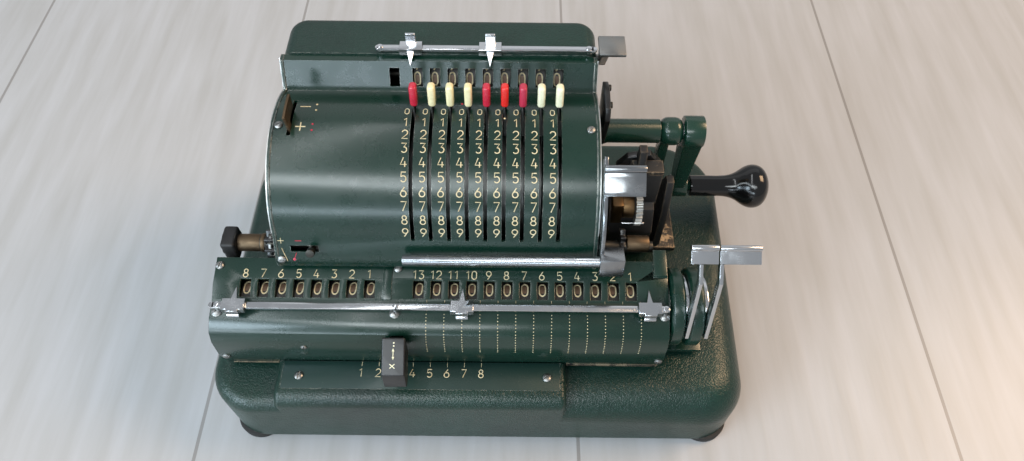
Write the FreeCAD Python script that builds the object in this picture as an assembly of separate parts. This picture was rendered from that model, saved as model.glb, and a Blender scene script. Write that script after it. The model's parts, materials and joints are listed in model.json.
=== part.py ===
import FreeCAD, Part
import math
import os

# A hand-cranked pinwheel calculator: a drum of setting wheels under a curved cover, a carriage
# with two rows of numeral wheels in front of it, and a crank on the operator's right.
# X runs to the operator's right, Y away from the operator, Z up. Lengths are in millimetres and
# angles in degrees. Angles about the drum are measured from straight up, positive to the rear.

V = FreeCAD.Vector

# ---- columns of numerals
PITCH = 9.0                  # from one numeral column to the next, on every register
SETTING_COLUMNS = 9
RESULT_COLUMNS = 13
COUNTER_COLUMNS = 8
SETTING_X = 21.8             # rightmost setting column
RESULT_X = 59.8              # rightmost result wheel
COUNTER_X = -73.0            # rightmost counter wheel

# ---- base
BASE_LEFT, BASE_RIGHT = -162.0, 127.5
BASE_DEPTH = 185.0
BASE_TOP = 47.5
FOOT_HEIGHT = 6.0
FOOT_RADIUS = 13.2
FOOT_INSET, FOOT_SETBACK = 18.0, 12.8    # foot centre from the base's sides, and from its front or rear
CORNER_FRONT, CORNER_REAR = 25.0, 40.0
BASE_EDGE, BASE_EDGE_LARGE = 7.5, 20.0   # rounding along the top edge, and at the front right corner
EDGE_STEPS = 12              # outlines from the side wall up to the flat top
BASE_WALL = 3.0
BOTTOM_SHEET = 2.0
RAIL_FRONT, RAIL_REAR = 40.0, 46.0       # the carriage slides on it
LEDGE_LEFT, LEDGE_RIGHT, LEDGE_REAR = -124.0, 28.0, 23.6
LEDGE_TOP = 55.0
LEDGE_EDGE, LEDGE_END_EDGE = 7.5, 3.0
SCALE_PLATE = 0.8            # thickness of the plate let into the ledge
SCALE_FRONT, SCALE_REAR = 8.2, 23.6
SCALE_MARGIN = 3.2           # from the ledge's ends to the plate

# ---- housing over the drum
HOUSING_LEFT, HOUSING_RIGHT = -119.8, 41.8
DRUM_Y, DRUM_Z = 112.0, 98.0
COVER_RADIUS = 50.0
SHEET = 1.5
SIDE_PLATE = 2.0
PLATE_PROUD = 0.5            # how far the side plates stand above the cover
APRON_ANGLE = -72.0          # where the cover leaves the drum's circle at the front
APRON_Y, APRON_FOLD_Z, APRON_BOTTOM_Z = 57.0, 101.0, 97.0
VALLEY_ANGLE = 28.0          # where it leaves it at the rear
BAND_LENGTH, BAND_SLOPE = 15.7, 62.0     # window band, from the valley up
TOP_FLAT = 4.3               # from the band's top edge back to the rear cover
FRAME_FRONT = 63.2           # side plates' front edge, behind the carriage

# ---- rear cover
COVER_RISE = 1.0             # rear cover's top above the housing's
COVER_DEPTH, COVER_LEAN = 28.8, 5.5      # front to back at the top, and more at the base
COVER_CORNER = 10.0
COVER_EDGE = 7.0
COVER_WALL = 2.0

# ---- slots, windows
SLOT_WIDTH = 2.0
SLOT_REAR, SLOT_FRONT = 13.5, -74.5
WINDOW_WIDTH = 5.2
WINDOW_START, WINDOW_END = 2.5, 12.3     # up the band from its lower edge
BLANK_WINDOW_X = -61.9
SIGN_X = -110.3
SIGN_SLOT_REAR, SIGN_SLOT_FRONT = 14.0, -13.0

# ---- setting levers and check dials
LEVER_ANGLE = 8.5            # lever at 0
SECTOR_TEETH, DIAL_TEETH = 42, 10
CENTRE_DISTANCE = 57.0       # drum shaft to dial shaft
DIAL_ANGLE = 43.0
DISC_RADIUS = 36.0
DISC_SHIFT = 2.4             # gear plane from the column's middle
DISC_THICK = 2.0
STEM_WIDTH, STEM_DEPTH = 1.3, 4.4
STEM_RADIUS = 58.0
CAP_WIDTH, CAP_DEPTH = 3.8, 5.6
CAP_FOOT, CAP_TIP = 52.0, 64.0
DIAL_RADIUS = 11.2
DIAL_WIDTH = 4.6
DIAL_SHAFT = 2.0             # radius

# ---- drive
SHAFT = 5.0                  # drum shaft radius
LATCH_RADIUS = 30.0
DRIVE_TEETH, DRIVE_MODULE = 28, 1.0
DRIVE_ANGLE = 44.4           # crank shaft seen from the drum shaft
DRIVE_LEFT, DRIVE_RIGHT = 28.5, 35.5
CRANK_SHAFT = 4.0
TUBE_RADIUS = 6.5
TUBE_RIGHT = 78.0
BOSS_RADIUS, BOSS_RIGHT, BOSS_EDGE = 7.6, 90.5, 4.5
FLARE_RADIUS, FLARE_LENGTH = 9.5, 8.0
ARM_LEFT, ARM_RIGHT = 91.0, 101.6
ARM_HUB, ARM_END = 8.5, 6.5  # radii
ARM_HALF, ARM_END_HALF = 7.2, 5.0        # half the blade's depth at the hub and at the knob
CRANK_THROW = 48.0
STUD, STUD_REACH = 3.0, 30.0
KNOB_LEFT = 103.6
KNOB_OUTLINE = [(0, 6.1), (12, 6.1), (22, 6.5), (27, 8.1), (32, 11.3), (37, 12.9), (42, 11.5),
                (45.3, 6.8), (46.4, 0)]      # along from its left end, and radius

# ---- drive block, beside the housing: outlines in Y and Z
BLOCK_FOOT = [47.0, 95.5, 100.0, 140.0]      # left, right, front, rear
BLOCK_FOOT_THICK = 2.5
BLOCK_BODY = [(101, 50), (93, 64), (88, 84), (94, 97), (108, 103), (121, 98), (124, 80), (124, 50)]
BODY_SPAN = [51.0, 75.0]
BLOCK_TOWER, TOWER_SPAN = [(98, 97), (98, 122), (108, 122), (121, 112), (121, 97)], [60.0, 76.0]
BLOCK_FIN, FIN_SPAN = [(101, 120), (103, 134), (108, 134), (111, 120)], [63.0, 67.0]
BLOCK_CHEEK = [(101, 50), (96, 60), (96, 88), (101, 112), (106, 112), (118, 88), (122, 60), (122, 50)]
CHEEK_SPAN = [80.0, 84.0]

# ---- carriage
CARRIAGE_LEFT, CARRIAGE_RIGHT = -152.5, 78.5
CARRIAGE_BOTTOM = 50.5
CARRIAGE_REAR = 62.5
CARRIAGE_FRONT = [(24.4, 50.5), (24.4, 56.0), (23.1, 57.2), (22.3, 65.0), (23.2, 77.0)]
CARRIAGE_SLOPE = [(25.7, 83.0), (32.0, 87.0), (41.3, 89.0), (48.8, 92.7)]
CARRIAGE_TOP = 95.6
REGISTER_Y, REGISTER_Z = 47.5, 75.6
WHEEL_RADIUS, WHEEL_WIDTH = 13.0, 5.4
STAR_RADIUS, STAR_WIDTH = 11.5, 1.6
REGISTER_SHAFT = 2.5
REGISTER_WINDOW = 5.4
REGISTER_WINDOW_FRONT, REGISTER_WINDOW_REAR = 42.8, 51.4
RING_RADIUS, RING_WIDTH = 20.3, 7.1
RING_GAP = 2.5
RING_PLATE = [5.0, 33.0, 60.0, 2.5]      # past the rings, front, rear, thickness
CLEAR_DISC = 17.0
CLEAR_THICK = 1.9
CLEAR_STRIP = [(-12.5, -2.1), (-20.5, 3.4), (-11.2, 42.4), (-3.5, 48.9), (-1.5, 45.9),
               (-6.9, 41.0), (-11.5, 11.9)]      # about the register shaft
CLEAR_TAB = [(-3.9, 48.6), (2.1, 53.4), (3.2, 51.9), (-2.7, 47.1)]
CLEAR_ROLL, CLEAR_ROLL_RADIUS = (2.4, 53.0), 1.5
CLEAR_TAB_LEFT = [83.0, 96.6]
CLEAR_TAB_RIGHT = [96.0, 116.0]
ROD_Y, ROD_Z, ROD_RADIUS = 71.5, 95.7, 3.0
ROD_LEFT, ROD_RIGHT = -143.0, 72.0
SLIDE_GAP = 0.3              # carriage over its rail and under its rod
END_TAB_SPAN, END_TAB_REACH = [71.5, 78.3], [54.0, 68.0]     # on the carriage's top at its right end
END_TAB_THICK = 1.4

# ---- pointer rails
RAIL_DEPTH, RAIL_THICK = 3.4, 1.5
LOWER_RAIL_Y, LOWER_RAIL_Z = 36.0, 92.2
LOWER_POSTS = [-147.3, -58.4, 76.1]
LOWER_POINTERS = [-139.0, -25.4, 68.0]
UPPER_RAIL_SETBACK, UPPER_RAIL_RISE = 6.0, 2.6   # from the band's top edge
UPPER_RAIL_LEFT, UPPER_RAIL_RIGHT = -71.5, 41.3
UPPER_POSTS = [-69.0, 37.1]
UPPER_POINTERS = [-53.3, -13.0]
POST_RADIUS = 1.6
POINTER_WIDTH, POINTER_DEPTH = 11.5, 6.2
POINTER_WALL = 0.8

# ---- controls
KEY_X, KEY_WIDTH = -58.5, 11.5
KEY_PIVOT_Y, KEY_PIVOT_Z = 34.0, 70.0
KEY_BLOCK = [(21.3, 90.0), (5.0, 80.3), (4.0, 68.0), (8.0, 67.5), (21.3, 76.0)]
KEY_STEM = [(20.5, 80.0), (35.5, 73.0), (35.5, 67.0), (20.5, 74.0)]
KEY_STEM_WIDTH, KEY_PIN = 5.2, 1.5
BAR_ANGLE, BAR_ORBIT, BAR_RADIUS = -80.2, 58.5, 2.7
BAR_LEFT = -55.0
RESET_THICK = 2.0
RESET_TOP_ANGLE = -26.0
RESET_TAB_RIGHT = 62.0
SIGN_ANGLE, SIGN_THICK = -7.5, 1.3
SIGN_GRIP = [52.0, 60.0, -2.0, 13.0]     # radii, and angles from its stem
SLIDER_X = -100.5
TRANSFER_Y, TRANSFER_Z, TRANSFER_PIN = 164.0, 140.0, 2.0
TRANSFER_PLATE = [(-3.5, -2.0), (-16.0, 18.0), (-6.5, 18.6), (3.5, 2.0), (2.0, -2.5)]    # about the pivot
TRANSFER_THICK = 3.6
TRANSFER_TAB = [-18.5, -4.7, 17.6, 19.6]     # front, rear, bottom and top, about the pivot
TRANSFER_REACH = 14.2        # tab, out from the housing

# ---- clearances
RUNNING = 0.05               # radial, shaft in a turning hole
CLEAR = 0.3                  # between pieces that pass each other
SIDE_GAP = 0.5               # beside a turning arm


# ---- worked out from the above
MODULE = 2.0 * CENTRE_DISTANCE / (SECTOR_TEETH + DIAL_TEETH)
DIAL_Y = DRUM_Y + CENTRE_DISTANCE * math.sin(math.radians(DIAL_ANGLE))
DIAL_Z = DRUM_Z + CENTRE_DISTANCE * math.cos(math.radians(DIAL_ANGLE))
DRIVE_DISTANCE = DRIVE_TEETH * DRIVE_MODULE
CRANK_Y = DRUM_Y + DRIVE_DISTANCE * math.sin(math.radians(DRIVE_ANGLE))
CRANK_Z = DRUM_Z + DRIVE_DISTANCE * math.cos(math.radians(DRIVE_ANGLE))
VALLEY_Y = DRUM_Y + COVER_RADIUS * math.sin(math.radians(VALLEY_ANGLE))
VALLEY_Z = DRUM_Z + COVER_RADIUS * math.cos(math.radians(VALLEY_ANGLE))
BAND_TOP_Y = VALLEY_Y + BAND_LENGTH * math.cos(math.radians(BAND_SLOPE))
BAND_TOP_Z = VALLEY_Z + BAND_LENGTH * math.sin(math.radians(BAND_SLOPE))
HOUSING_REAR = BAND_TOP_Y + TOP_FLAT
COVER_TOP = BAND_TOP_Z + COVER_RISE
COVER_REAR_TOP = HOUSING_REAR + COVER_DEPTH
COVER_REAR_BASE = COVER_REAR_TOP + COVER_LEAN
UPPER_RAIL_Y, UPPER_RAIL_Z = BAND_TOP_Y + UPPER_RAIL_SETBACK, BAND_TOP_Z + UPPER_RAIL_RISE
SHELL_LEFT = HOUSING_LEFT + SIDE_PLATE
SHELL_RIGHT = HOUSING_RIGHT - SIDE_PLATE
SETTING_XS = [SETTING_X - PITCH * k for k in range(SETTING_COLUMNS)]
RESULT_XS = [RESULT_X - PITCH * k for k in range(RESULT_COLUMNS)]
COUNTER_XS = [COUNTER_X - PITCH * k for k in range(COUNTER_COLUMNS)]
RING_LEFT = [CARRIAGE_RIGHT + 1.1, CARRIAGE_RIGHT + 1.1 + RING_WIDTH + RING_GAP]
CLEAR_X = [left + RING_WIDTH + (RING_GAP - CLEAR_THICK) / 2.0 for left in RING_LEFT]


# ---- plain shapes
def box(x0, x1, y0, y1, z0, z1):
    return Part.makeBox(x1 - x0, y1 - y0, z1 - z0, V(x0, y0, z0))


def rod(y, z, radius, x0, x1):
    return Part.makeCylinder(radius, x1 - x0, V(x0, y, z), V(1, 0, 0))


def cone(y, z, radius0, radius1, x0, x1):
    return Part.makeCone(radius0, radius1, x1 - x0, V(x0, y, z), V(1, 0, 0))


def post(x, y, radius, z0, z1):
    return Part.makeCylinder(radius, z1 - z0, V(x, y, z0))


def extrude(edges, x0, x1):
    face = Part.Face(Part.Wire(edges))
    solid = face.extrude(V(x1 - x0, 0, 0))
    solid.translate(V(x0, 0, 0))
    return solid


def prism(points, x0, x1):
    """Closed outline in Y and Z, drawn out along X."""
    corners = [V(0, y, z) for y, z in points]
    return extrude(Part.makePolygon(corners + corners[:1]).Edges, x0, x1)


def around(radius, angle, y=DRUM_Y, z=DRUM_Z):
    """The point at that angle about a shaft, by default the drum's."""
    return (y + radius * math.sin(math.radians(angle)), z + radius * math.cos(math.radians(angle)))


def arc(radius, a0, a1, y=DRUM_Y, z=DRUM_Z):
    first, middle, last = [V(0, *around(radius, a, y, z)) for a in (a0, (a0 + a1) / 2.0, a1)]
    return Part.Arc(first, middle, last).toShape()


def line(p, q):
    return Part.LineSegment(V(0, *p), V(0, *q)).toShape()


def ring_part(radius0, radius1, a0, a1, x0, x1):
    """Piece of a ring about the drum shaft."""
    edges = [arc(radius0, a0, a1), line(around(radius0, a1), around(radius1, a1)),
             arc(radius1, a1, a0), line(around(radius1, a0), around(radius0, a0))]
    return extrude(edges, x0, x1)


def turned(shape, angle, y=DRUM_Y, z=DRUM_Z):
    """A shape drawn standing straight up, swung to its angle about the shaft."""
    shape.rotate(V(0, y, z), V(1, 0, 0), -angle)
    return shape


def moved(shape, x):
    copy = shape.copy()
    copy.translate(V(x, 0, 0))
    return copy


def fused(first, *others):
    return first.multiFuse(list(others)).removeSplitter()


def rounded(shape, radius, chosen):
    return shape.makeFillet(radius, [edge for edge in shape.Edges if chosen(edge)])


def is_along(edge, axis):
    span = edge.BoundBox
    lengths = {"x": span.XLength, "y": span.YLength, "z": span.ZLength}
    return lengths[axis] > 1e-6 and all(lengths[other] < 1e-6 for other in lengths if other != axis)


def tooth_points(y, z, teeth, module, middle):
    """One tooth's four corners, from low angle to high."""
    step = 360.0 / teeth
    pitch_radius = module * teeth / 2.0
    root, tip = pitch_radius - 0.95 * module, pitch_radius + 0.7 * module
    return [around(root, middle - 0.29 * step, y, z), around(tip, middle - 0.12 * step, y, z),
            around(tip, middle + 0.12 * step, y, z), around(root, middle + 0.29 * step, y, z)]


def gear(y, z, teeth, module, middle, x0, x1):
    points = []
    for i in range(teeth):
        points += tooth_points(y, z, teeth, module, middle + 360.0 * i / teeth)
    return prism(points, x0, x1)


# ---- base
def tray_outline(inset, roll, floor=None):
    """Outline round the base where its edge has rolled over that far, or at the floor where one is given."""
    front, rear = CORNER_FRONT, CORNER_REAR
    corners = [(BASE_LEFT + front, front, front, BASE_EDGE, 180),
               (BASE_RIGHT - front, front, front, BASE_EDGE_LARGE, 270),
               (BASE_RIGHT - rear, BASE_DEPTH - rear, rear, BASE_EDGE, 0),
               (BASE_LEFT + rear, BASE_DEPTH - rear, rear, BASE_EDGE, 90)]
    arcs = []
    for x, y, corner, edge, start in corners:
        drop = (edge - inset) * (1 - math.sin(math.radians(roll)))
        radius = corner - inset - (edge - inset) * (1 - math.cos(math.radians(roll)))
        z = BASE_TOP - inset - drop if floor is None else floor
        arcs.append([V(x + radius * math.cos(math.radians(a)), y + radius * math.sin(math.radians(a)), z)
                     for a in (start, start + 45, start + 90)])
    edges = []
    for here, following in zip(arcs, arcs[1:] + arcs[:1]):
        edges += [Part.Arc(*here).toShape(), Part.LineSegment(here[2], following[0]).toShape()]
    return Part.Wire(edges)


def tray(inset, floor):
    """The base's outer form, or with an inset the hollow inside it."""
    outlines = [tray_outline(inset, 0, floor)]
    outlines += [tray_outline(inset, 90.0 * step / EDGE_STEPS) for step in range(EDGE_STEPS + 1)]
    return Part.makeLoft(outlines, True, True)


def ledge(inset, floor):
    """The raised ledge in front of the carriage, or with an inset the hollow inside it."""
    form = box(LEDGE_LEFT + inset, LEDGE_RIGHT - inset, inset, LEDGE_REAR - inset, floor, LEDGE_TOP - inset)
    form = rounded(form, LEDGE_EDGE - inset,
                   lambda e: is_along(e, "x") and e.BoundBox.YMax < inset + 1e-3
                   and e.BoundBox.ZMin > floor + 1)
    if inset:
        return form
    return rounded(form, LEDGE_END_EDGE, lambda e: e.BoundBox.XLength < 1e-3 and e.BoundBox.ZMax > floor + 1
                   and e.BoundBox.YMin < LEDGE_REAR - 1e-3)


def foot_places():
    for x in (BASE_LEFT + FOOT_INSET, BASE_RIGHT - FOOT_INSET):
        for y in (FOOT_SETBACK, BASE_DEPTH - FOOT_SETBACK):
            yield x, y


def scale_pocket():
    return box(LEDGE_LEFT + SCALE_MARGIN, LEDGE_RIGHT - SCALE_MARGIN, SCALE_FRONT, SCALE_REAR,
               LEDGE_TOP - SCALE_PLATE, LEDGE_TOP)


def base_tray():
    rail = box(LEDGE_LEFT, CARRIAGE_RIGHT, RAIL_FRONT, RAIL_REAR, BASE_TOP - BASE_WALL,
               CARRIAGE_BOTTOM - SLIDE_GAP)
    hollow = fused(tray(BASE_WALL, FOOT_HEIGHT - 1), ledge(BASE_WALL, FOOT_HEIGHT - 1))
    shell = fused(tray(0, FOOT_HEIGHT), ledge(0, FOOT_HEIGHT)).cut(hollow)
    low = box(BASE_LEFT, BASE_RIGHT, 0, BASE_DEPTH, FOOT_HEIGHT, FOOT_HEIGHT + BOTTOM_SHEET)
    return [fused(shell, rail).cut(scale_pocket()), hollow.common(low)]


def rubber_feet():
    return [Part.makeCone(FOOT_RADIUS - 0.3, FOOT_RADIUS, FOOT_HEIGHT, V(x, y, 0)) for x, y in foot_places()]


# ---- housing
def band_point(along, out):
    """A point by its distance up the window band from the valley and out from the band's face."""
    slope = math.radians(BAND_SLOPE)
    return (VALLEY_Y + along * math.cos(slope) - out * math.sin(slope),
            VALLEY_Z + along * math.sin(slope) + out * math.cos(slope))


def valley_angle(radius, lift):
    """Where the drum's circle meets the band's face, both moved out by lift."""
    slope = math.radians(BAND_SLOPE)
    y, z = band_point(0, lift)
    y, z = y - DRUM_Y, z - DRUM_Z
    forward = y * math.cos(slope) + z * math.sin(slope)
    along = -forward + math.sqrt(forward ** 2 - (y * y + z * z - radius ** 2))
    return math.degrees(math.atan2(y + along * math.cos(slope), z + along * math.sin(slope)))


def cover_edges(radius, lift):
    """Front, top and window band of the housing, seen from the side, from apron to band top."""
    fold = (APRON_Y - lift, APRON_FOLD_Z)
    valley = valley_angle(radius, lift)
    band_high = band_point(BAND_LENGTH, lift)
    return [line((APRON_Y - lift, APRON_BOTTOM_Z), fold),
            line(fold, around(radius, APRON_ANGLE)),
            arc(radius, APRON_ANGLE, valley),
            line(around(radius, valley), band_high),
            line(band_high, (HOUSING_REAR, band_high[1]))]


def cover_block(lift, x0, x1):
    edges = cover_edges(COVER_RADIUS + lift, lift)
    first, last = edges[0].Vertexes[0].Point, edges[-1].Vertexes[-1].Point
    low = (HOUSING_REAR, APRON_BOTTOM_Z)
    edges += [line((last.y, last.z), low), line(low, (first.y, first.z))]
    return extrude(edges, x0, x1)


def window_cut(x):
    points = [band_point(WINDOW_START, 2), band_point(WINDOW_END, 2),
              band_point(WINDOW_END, -3), band_point(WINDOW_START, -3)]
    return prism(points, x - WINDOW_WIDTH / 2, x + WINDOW_WIDTH / 2)


def apron_point(share, out):
    """A point on the apron's sloping face, by its share of the way up."""
    low, high = (APRON_Y, APRON_FOLD_Z), around(COVER_RADIUS, APRON_ANGLE)
    run, rise = high[0] - low[0], high[1] - low[1]
    length = math.hypot(run, rise)
    return (low[0] + share * run - out * rise / length, low[1] + share * rise + out * run / length)


def housing_shell():
    shell = cover_block(0, SHELL_LEFT, SHELL_RIGHT).cut(cover_block(-SHEET, SHELL_LEFT - 1, SHELL_RIGHT + 1))
    under = box(SHELL_LEFT - 1, SHELL_RIGHT + 1, APRON_Y + SHEET, HOUSING_REAR + 1, APRON_BOTTOM_Z - 1,
                APRON_BOTTOM_Z + SHEET + 0.5)
    behind = box(SHELL_LEFT - 1, SHELL_RIGHT + 1, HOUSING_REAR - SHEET - 0.5, HOUSING_REAR + 1,
                 APRON_BOTTOM_Z - 1, BAND_TOP_Z - SHEET)
    half = SLOT_WIDTH / 2
    low, high = COVER_RADIUS - 2 * SHEET, COVER_RADIUS + SHEET
    slots = [ring_part(low, high, SLOT_FRONT, SLOT_REAR, x - half, x + half) for x in SETTING_XS]
    slots.append(ring_part(low, high, SIGN_SLOT_FRONT, SIGN_SLOT_REAR, SIGN_X - half, SIGN_X + half))
    windows = [window_cut(x) for x in SETTING_XS + [BLANK_WINDOW_X]]
    slider_slot = prism([apron_point(0.38, 3), apron_point(0.62, 3), apron_point(0.62, -4),
                         apron_point(0.38, -4)], SLIDER_X - 11, SLIDER_X + 3)
    return shell.cut([under, behind, slider_slot] + slots + windows)


def side_frames():
    frames = []
    for x in (HOUSING_LEFT, SHELL_RIGHT):
        block = cover_block(PLATE_PROUD, x, x + SIDE_PLATE)
        leg = box(x, x + SIDE_PLATE, FRAME_FRONT, HOUSING_REAR, BASE_TOP, APRON_BOTTOM_Z)
        holes = [rod(DRUM_Y, DRUM_Z, SHAFT + RUNNING, x - 1, x + SIDE_PLATE + 1),
                 rod(ROD_Y, ROD_Z, ROD_RADIUS, x - 1, x + SIDE_PLATE + 1)]
        if x == SHELL_RIGHT:
            holes.append(rod(CRANK_Y, CRANK_Z, CRANK_SHAFT + CLEAR, x - 1, x + SIDE_PLATE + 1))
        frames.append(block.fuse(leg).removeSplitter().cut(holes))
    return frames


def rear_block(inset):
    top, low = COVER_TOP - inset, BASE_TOP - BASE_EDGE
    front = HOUSING_REAR - (1 if inset else 0)
    points = [(front, top), (COVER_REAR_TOP - inset, top), (COVER_REAR_BASE - inset, low), (front, low)]
    form = prism(points, HOUSING_LEFT + inset, HOUSING_RIGHT - inset)
    form = rounded(form, COVER_CORNER - inset,
                   lambda e: e.BoundBox.YMin > COVER_REAR_TOP - inset - 1 and e.BoundBox.ZLength > 1)
    return rounded(form, COVER_EDGE - inset,
                   lambda e: e.BoundBox.ZMin > top - 1e-3 and e.BoundBox.YMax > HOUSING_REAR + 1)


def dial_shaft():
    """Seated in blind holes in the rear cover's side walls."""
    return rod(DIAL_Y, DIAL_Z, DIAL_SHAFT, HOUSING_LEFT + COVER_WALL / 2, HOUSING_RIGHT - COVER_WALL / 2)


def rear_cover():
    pivot = rod(TRANSFER_Y, TRANSFER_Z, TRANSFER_PIN + RUNNING, SHELL_RIGHT - 3, HOUSING_RIGHT + 1)
    return rear_block(0).cut([rear_block(COVER_WALL), tray(0, 0), pivot, dial_shaft()])


def scale_plate():
    return scale_pocket()


# ---- drive
def fixed_shafts():
    guide = rod(ROD_Y, ROD_Z, ROD_RADIUS, ROD_LEFT, ROD_RIGHT)
    end_collar = rod(ROD_Y, ROD_Z, 2.1 * ROD_RADIUS, ROD_LEFT - 7, ROD_LEFT)
    sleeve = rod(ROD_Y, ROD_Z, 1.5 * ROD_RADIUS, ROD_LEFT + 5, ROD_LEFT + 16)
    sleeve = sleeve.cut(rod(ROD_Y, ROD_Z, ROD_RADIUS, ROD_LEFT, ROD_LEFT + 20))
    star = gear(ROD_Y, ROD_Z, 10, 1.3, 0, ROD_LEFT + 17, ROD_LEFT + 21)
    star = star.cut(rod(ROD_Y, ROD_Z, ROD_RADIUS, ROD_LEFT, ROD_LEFT + 30))
    return [guide, end_collar, sleeve, star, dial_shaft()]


def main_shaft():
    """Drum shaft with a driver disc beside each setting wheel, the driven gear and an end collar."""
    reset_right = HOUSING_RIGHT + SIDE_GAP + RESET_THICK
    shaft = rod(DRUM_Y, DRUM_Z, SHAFT, HOUSING_LEFT, reset_right + SIDE_GAP)
    end = rod(DRUM_Y, DRUM_Z, SHAFT + 2, reset_right + CLEAR, reset_right + 2.3)
    pieces = [end]
    for x in SETTING_XS:
        pieces.append(rod(DRUM_Y, DRUM_Z, LATCH_RADIUS, x - 3.6, x + 0.8))
        pieces.append(ring_part(LATCH_RADIUS - 10, LATCH_RADIUS, 40, 145, x + 0.8, x + 1.8))
    wheel = gear(DRUM_Y, DRUM_Z, DRIVE_TEETH, DRIVE_MODULE, DRIVE_ANGLE, DRIVE_LEFT, DRIVE_RIGHT)
    return fused(shaft, wheel, *pieces)


def crank_bracket():
    """Bearing tube for the crank, with the stop arm that hangs from its boss."""
    tube = rod(CRANK_Y, CRANK_Z, TUBE_RADIUS, HOUSING_RIGHT, TUBE_RIGHT)
    flare = cone(CRANK_Y, CRANK_Z, FLARE_RADIUS, TUBE_RADIUS, HOUSING_RIGHT, HOUSING_RIGHT + FLARE_LENGTH)
    boss = rod(CRANK_Y, CRANK_Z, BOSS_RADIUS, TUBE_RIGHT, BOSS_RIGHT)
    boss = rounded(boss, BOSS_EDGE, lambda e: e.BoundBox.XLength < 1e-3)
    arm = box(TUBE_RIGHT + 1, TUBE_RIGHT + 6, CRANK_Y - 4, CRANK_Y + 4, CRANK_Z - 34, CRANK_Z)
    eye = rod(CRANK_Y, CRANK_Z - 34, 4.6, TUBE_RIGHT - 1, TUBE_RIGHT + 8)
    bore = rod(CRANK_Y, CRANK_Z, CRANK_SHAFT + RUNNING, HOUSING_RIGHT - 1, BOSS_RIGHT + 1)
    eye_bore = rod(CRANK_Y, CRANK_Z - 34, 2.2, TUBE_RIGHT - 2, TUBE_RIGHT + 9)
    return fused(tube, flare, boss, arm, eye).cut([bore, eye_bore])


def crank_arm():
    knob_z = CRANK_Z - CRANK_THROW
    hub = rod(CRANK_Y, CRANK_Z, ARM_HUB, ARM_LEFT, ARM_RIGHT)
    end = rod(CRANK_Y, knob_z, ARM_END, ARM_LEFT + 1, ARM_RIGHT)
    blade = []
    for x0, x1, half, z in ((ARM_LEFT, ARM_RIGHT - 1, ARM_HALF, CRANK_Z),
                            (ARM_LEFT + 2, ARM_RIGHT - 2, ARM_END_HALF, knob_z)):
        y0, y1 = CRANK_Y - half, CRANK_Y + half
        corners = [V(x0, y0, z), V(x1, y0, z), V(x1, y1, z), V(x0, y1, z)]
        blade.append(Part.makePolygon(corners + corners[:1]))
    blade = Part.makeLoft(blade, True)
    shaft = rod(CRANK_Y, CRANK_Z, CRANK_SHAFT, DRIVE_LEFT, ARM_LEFT + 1)
    stud = rod(CRANK_Y, knob_z, STUD, ARM_RIGHT - 1, KNOB_LEFT + STUD_REACH)
    pinion = gear(CRANK_Y, CRANK_Z, DRIVE_TEETH, DRIVE_MODULE,
                  DRIVE_ANGLE + 180 + 180.0 / DRIVE_TEETH, DRIVE_LEFT, DRIVE_RIGHT)
    return fused(hub, end, blade, shaft, stud, pinion)


def crank_knob():
    """Turned handle: a slim neck that swells into a wide, flattened ball."""
    knob_z = CRANK_Z - CRANK_THROW
    outline = [V(KNOB_LEFT + along, radius, 0) for along, radius in KNOB_OUTLINE]
    curve = Part.BSplineCurve()
    curve.interpolate(Points=outline, InitialTangent=V(1, 0, 0), FinalTangent=V(0, -1, 0))
    start = V(KNOB_LEFT, 0, 0)
    edges = [Part.LineSegment(start, outline[0]).toShape(), curve.toShape(),
             Part.LineSegment(outline[-1], start).toShape()]
    handle = Part.Face(Part.Wire(edges)).revolve(V(0, 0, 0), V(1, 0, 0), 360)
    handle.translate(V(0, CRANK_Y, knob_z))
    return handle.cut(rod(CRANK_Y, knob_z, STUD + RUNNING, KNOB_LEFT - 1, KNOB_LEFT + STUD_REACH + CLEAR))


def gear_bracket():
    """Black drive block that stands on the base between the housing and the crank."""
    foot = box(*BLOCK_FOOT, BASE_TOP, BASE_TOP + BLOCK_FOOT_THICK)
    forms = [(BLOCK_BODY, BODY_SPAN), (BLOCK_TOWER, TOWER_SPAN), (BLOCK_FIN, FIN_SPAN),
             (BLOCK_CHEEK, CHEEK_SPAN)]
    return fused(foot, *[prism(points, *span) for points, span in forms])


# ---- setting levers and dials
def setting_wheel():
    """Toothed wheel with the lever's stem, drawn for a column at X = 0, and its cap."""
    left, right = DISC_SHIFT, DISC_SHIFT + DISC_THICK
    disc = rod(DRUM_Y, DRUM_Z, DISC_RADIUS, left, right)
    step = 360.0 / SECTOR_TEETH
    points = []
    for i in range(-2, 11):
        points += tooth_points(DRUM_Y, DRUM_Z, SECTOR_TEETH, MODULE, DIAL_ANGLE + (i + 0.5) * step)
    points += [around(DISC_RADIUS / 2, DIAL_ANGLE + 9.5 * step), around(DISC_RADIUS / 2, DIAL_ANGLE - step)]
    sector = prism(points, left, right)
    half_w, half_d = STEM_WIDTH / 2, STEM_DEPTH / 2
    root = DRUM_Z + DISC_RADIUS - 2
    joggle = box(-half_w, right, DRUM_Y - half_d, DRUM_Y + half_d, root, DRUM_Z + COVER_RADIUS - SHEET - 4.5)
    stem = box(-half_w, half_w, DRUM_Y - half_d, DRUM_Y + half_d, root, DRUM_Z + STEM_RADIUS)
    lever = turned(fused(joggle, stem), LEVER_ANGLE)
    holes = [rod(DRUM_Y, DRUM_Z, SHAFT + RUNNING, left - 1, right + 1)]
    for middle in (-110, -40, 175):
        holes.append(ring_part(DISC_RADIUS * 0.42, DISC_RADIUS * 0.82, middle - 26, middle + 26,
                               left - 1, right + 1))
    return fused(disc, sector, lever).cut(holes)


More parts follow.
